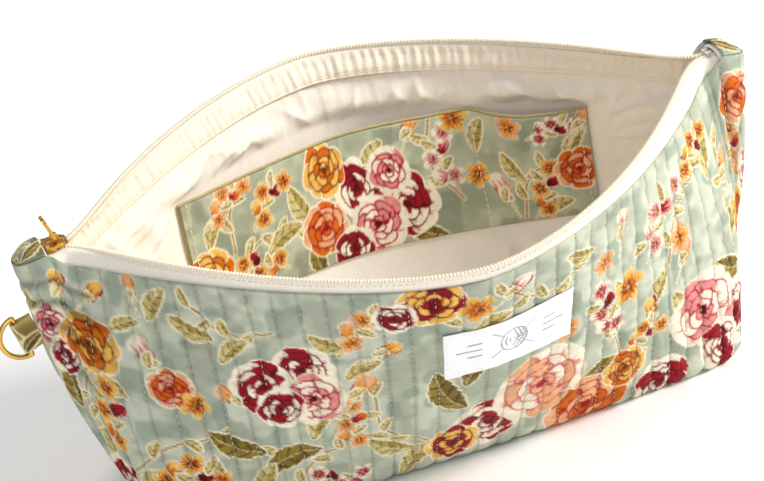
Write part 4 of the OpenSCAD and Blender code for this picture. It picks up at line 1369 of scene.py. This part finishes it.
class BAG_OT_hardware(bpy.types.Operator):
    """Slider, pull, stops and D-ring"""

    bl_idname = "bag.hardware"
    bl_label = "Hardware"

    def execute(self, context):
        c = context.scene.bag_colours
        metal = brass("Plated brass", tuple(c.brass))
        bright = brass("Polished ring brass", srgb("#E7B95C"), 0.16)
        from_node("zip_slider", "slider_body", 0.18, metal, "slider")
        from_node("zip_pull", "pull_tab", 0.2, metal, "pull")
        from_node("zip_bottom_stop", "bottom_stop", 0.15, metal, "bag")
        moulded = nylon("Moulded stop", srgb("#DAD8D2"))
        from_node("zip_top_stops", "top_stops", 0.15, moulded, "bag")
        from_node("d_ring", "tab_ring", 0, bright, "ring")
        return {"FINISHED"}


class BAG_OT_label(bpy.types.Operator):
    """Woven label with a plain yarn motif, sewn on by hand"""

    bl_idname = "bag.label"
    bl_label = "Label"

    def execute(self, context):
        s, c, w = bag()
        material = cotton("Woven label satin", weave=3.2, rough=0.6, crinkle=0.12, mottle=(0.99, 1.01))
        rows, cols = int(90 * density()), int(190 * density())
        x, y = np.meshgrid(np.linspace(0, 1, cols), np.linspace(0, 1, rows))
        px, py = x * s.label_len, y * s.label_h
        # The cut ends fray a little, and the corners lift.
        ragged = 0.3 * (lattice(0 * px, py, 1.1, 5) - 0.5) * (x < 0.5)
        ragged = ragged + 0.3 * (lattice(0 * px, py, 1.1, 6) - 0.5) * (x > 0.5)
        wavy = 0.5 * (lattice(px, 0 * py, 7, 7) - 0.5) * (2 * y - 1)
        px = px + ragged * abs(2 * x - 1) ** 8
        py = py + wavy
        q = LABEL[0] + px / w.width[FRONT]
        tall = s.label_h / (s.front_height - CLOTH) * math.cos(math.atan(s.front_bow / s.front_height) * 0.6)
        t = LABEL[1] + tall * (py / s.label_h - 0.5)
        k, _ = channels(s, w.width[FRONT], q * w.width[FRONT])
        lift = 0.85 + 0.25 * np.sin(math.pi * k) + 0.35 * (lattice(px, py, 8, 9) - 0.5)
        corner = (abs(2 * x - 1) ** 6) * (abs(2 * y - 1) ** 6)
        art = self.motif(c, s, px, py)
        face = w.at(FRONT, q, t, -(lift + 0.35 + 0.5 * corner))
        back = w.at(FRONT, q, t, -(lift - 0.05 + 0.5 * corner))
        obj = shell("label_cloth", face, back, np.stack([px, py], -1), art)
        outward(obj)
        finish_piece(obj, material, nodes=["label"])
        inset = 1.5
        e, f = inset / s.label_len, inset / s.label_h

        def edge(a, b):
            lx, ly = np.linspace(a[0], b[0], 60), np.linspace(a[1], b[1], 60)
            q = LABEL[0] + lx * s.label_len / w.width[FRONT]
            k, _ = channels(s, w.width[FRONT], q * w.width[FRONT])
            waves = lattice(lx * s.label_len, ly * s.label_h, 8, 9) - 0.5
            rise = 0.85 + 0.25 * np.sin(math.pi * k) + 0.35 * waves
            return w.at(FRONT, q, LABEL[1] + tall * (ly - 0.5), -(rise + 0.42))

        lines = [edge((e, f), (1 - e, f)), edge((e, 1 - f), (1 - e, 1 - f)), edge((e, f), (e, 1 - f)),
                 edge((1 - e, f), (1 - e, 1 - f))]
        thread = thread_material("Label thread", srgb("#FBFAF6"))
        row = repeat("label_thread", lines, stitch_piece(1.5, 0.2), 2.1, thread, seed=6)
        finish_piece(row, None, nodes=["label_stitching"])
        return {"FINISHED"}

    @staticmethod
    def motif(c, s, x, y):
        """A ball of yarn with two needles, and plain woven rules."""
        ink = np.zeros(x.shape)
        cx, cy, r = s.label_len * 0.5, s.label_h * 0.52, s.label_h * 0.24
        a, b = x - cx, y - cy
        d = np.hypot(a, b)
        ring = np.clip((0.32 - abs(d - r)) / 0.25, 0, 1)
        wound = np.zeros(x.shape)
        for turn in (0.4, 1.5, 2.6):
            p = a * math.cos(turn) + b * math.sin(turn)
            wound = np.maximum(wound, np.clip((np.cos(p * 3.4 + 0.12 * (a * b)) - 0.35) * 2, 0, 1) *
                               (np.sin(np.arctan2(b, a) * 1.5 + turn) > 0.1))
        ink = np.maximum(ring, wound * (d < r) * 0.85)
        for sign in (-1, 1):
            p = a * math.cos(0.62) * sign + b * math.sin(0.62)
            q = abs(-a * math.sin(0.62) * sign + b * math.cos(0.62))
            ink = np.maximum(ink, np.clip((0.3 - q) / 0.2, 0, 1) * (abs(p) < r * 2.0) * (d > r) * 0.9)
        for off, far in ((-3.2, 0.34), (0.3, 0.42), (3.8, 0.34)):
            rule = np.clip((0.45 - abs(b - off)) / 0.2, 0, 1)
            ink = np.maximum(ink, rule * (abs(a) > r * 2.3) * (abs(a) < s.label_len * far) * 0.8)
        ground = np.array(tuple(c.label))[None, None] * np.ones((*x.shape, 1))
        return ground + (np.array(tuple(c.label_ink)) - ground) * ink[..., None]


class BAG_OT_tab(bpy.types.Operator):
    """Folded tab of the printed cotton that holds the D-ring"""

    bl_idname = "bag.tab"
    bl_label = "Tab"

    def execute(self, context):
        s, _, w = bag()
        # The tab's place up the seam, how far it stands out to its bar, and its width.
        place, reach, wide = 0.8, 5.5, 13.0
        rise = s.end_height - EAR_DROP - CLOTH
        lean = math.atan((w.half - s.base_len / 2) / rise)
        seam = s.base_len / 2 * (1 - place) + w.half * place + s.swell * math.sin(math.pi * place)
        mid = np.array([-seam, 0, CLOTH + rise * place])
        arc = np.linspace(math.pi / 2, 3 * math.pi / 2, 25)
        legs = np.linspace(0, 1, 12)[:-1]

        def profile(r, pinch):
            """A loop round the bar whose two legs close up towards the seam."""
            y = pinch + (r - pinch) * smooth(0.15, 1.0, legs)
            up = np.stack([1.2 - (reach + 1.2) * legs, y], 1)
            turn = np.stack([-reach + r * np.cos(arc), r * np.sin(arc)], 1)
            return np.concatenate([up, turn, up[::-1] * (1, -1)])

        zs = np.linspace(-wide / 2, wide / 2, 27)
        wave = 0.12 * (lattice(zs, 0 * zs, 3, 8) - 0.5)

        def skin(r, pinch):
            p = profile(r, pinch)
            rows = [np.stack([p[:, 0], p[:, 1] * (1 + k), np.full(len(p), z)], 1) for z, k in zip(zs, wave)]
            pts = np.array(rows)
            x = pts[..., 0] * math.cos(lean) - pts[..., 2] * math.sin(lean)
            z = pts[..., 0] * math.sin(lean) + pts[..., 2] * math.cos(lean)
            return np.stack([x, pts[..., 1], z], -1) + mid

        outer, inner = skin(2.15, 1.35), skin(1.15, 0.25)
        n = outer.shape[1]
        u, v = np.meshgrid(np.linspace(0, 18, n), zs)
        art = Print(u, v + 10, 5, ("olive", "olive light", "olive dark"))
        art.draw([("dark leaf", 4, 8, 12, 60), ("leaf", 11, 13, 12, 120)])
        art.draw([("dark leaf", 15, 6, 11, 30), ("leaf", 8, 4, 10, 160)])
        obj = shell("tab_cloth", outer, inner, np.stack([u, v], -1), art.linear())
        outward(obj)
        finish_piece(obj, cotton("Printed tab cotton", crinkle=0.3), nodes=["side_tab"])
        return {"FINISHED"}


# ---- Stage ----


class BAG_OT_stage(bpy.types.Operator):
    """Pale floor, soft studio lights and the camera"""

    bl_idname = "bag.stage"
    bl_label = "Stage"

    def execute(self, context):
        scene = context.scene
        c = scene.bag_colours
        mesh = bpy.data.meshes.new("floor")
        mesh.from_pydata([(-6, -6, 0), (6, -6, 0), (6, 6, 0), (-6, 6, 0)], [], [(0, 1, 2, 3)])
        floor = bpy.data.objects.new("floor", mesh)
        scene.collection.objects.link(floor)
        # A seamless paper sweep, matt and nearly white.
        material, _, shader = blank("White paper", 0.9)
        shader.inputs["Base Color"].default_value = (*c.floor, 1)
        floor.data.materials.append(material)
        world = bpy.data.worlds.new("Studio")
        scene.world = world
        world.use_nodes = True
        world.node_tree.nodes["Background"].inputs[0].default_value = (1.0, 0.995, 0.985, 1)
        world.node_tree.nodes["Background"].inputs[1].default_value = 0.34
        target = Vector((-0.009, -0.002, 0.05))
        for name, place, wide, power, tint in (
            ("Key", (1.9, -0.7, 1.5), 0.9, 62, (1.0, 0.985, 0.955)),
            ("Fill", (-1.0, -2.0, 1.2), 1.6, 13, (0.97, 0.98, 1.0)),
            ("Top", (0.2, 0.9, 2.0), 1.4, 16, (1.0, 1.0, 1.0)),
        ):
            light = bpy.data.lights.new(name, "AREA")
            light.size, light.energy, light.color = wide, power, tint
            lamp = bpy.data.objects.new(name, light)
            lamp.location = place
            lamp.rotation_euler = (target - Vector(place)).to_track_quat("-Z", "Y").to_euler()
            scene.collection.objects.link(lamp)
        yaw, pitch, roll, away = 0.2584, 0.4229, -0.185, 1.2438
        aim = Vector((-0.00885, -0.00233, 0.07713))
        ahead = Vector((math.sin(yaw) * math.cos(pitch), math.cos(yaw) * math.cos(pitch), -math.sin(pitch)))
        right = Vector((math.cos(yaw), -math.sin(yaw), 0))
        up = right.cross(ahead)
        axis_x = math.cos(roll) * right + math.sin(roll) * up
        axis_y = -math.sin(roll) * right + math.cos(roll) * up
        turn = Matrix((axis_x, axis_y, -ahead)).transposed().to_4x4()
        data = bpy.data.cameras.new("Camera")
        data.lens, data.sensor_width = 150.8, 36.0
        data.clip_end = 20
        camera = bpy.data.objects.new("Camera", data)
        camera.matrix_world = Matrix.Translation(aim - ahead * away) @ turn
        scene.collection.objects.link(camera)
        scene.camera = camera
        scene.view_settings.view_transform = "Standard"
        return {"FINISHED"}


class BAG_PT_panel(bpy.types.Panel):
    """Buttons that build the bag"""

    bl_label = "Knitting bag"
    bl_idname = "BAG_PT_panel"
    bl_space_type = "VIEW_3D"
    bl_region_type = "UI"
    bl_category = "Knitting bag"

    def draw(self, context):
        for op in OPERATORS:
            self.layout.operator(op.bl_idname)
        for group in (context.scene.bag_sizes, context.scene.bag_colours):
            box = self.layout.box()
            for name in group.__annotations__:
                box.prop(group, name)


OPERATORS = (
    BAG_OT_outer_cloth,
    BAG_OT_wadding,
    BAG_OT_lining,
    BAG_OT_pocket,
    BAG_OT_zip,
    BAG_OT_hardware,
    BAG_OT_label,
    BAG_OT_tab,
    BAG_OT_stage,
)
CLASSES = (BagSizes, BagColours, *OPERATORS, BAG_PT_panel)


def register():
    for cls in CLASSES:
        bpy.utils.register_class(cls)
    bpy.types.Scene.bag_sizes = bpy.props.PointerProperty(type=BagSizes)
    bpy.types.Scene.bag_colours = bpy.props.PointerProperty(type=BagColours)


def unregister():
    del bpy.types.Scene.bag_colours
    del bpy.types.Scene.bag_sizes
    for cls in reversed(CLASSES):
        bpy.utils.unregister_class(cls)


def main():
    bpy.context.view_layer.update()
    register()
    for name in ("outer_cloth", "wadding", "lining", "pocket", "zip", "hardware", "label", "tab", "stage"):
        getattr(bpy.ops.bag, name)()


if __name__ == "__main__":
    main()
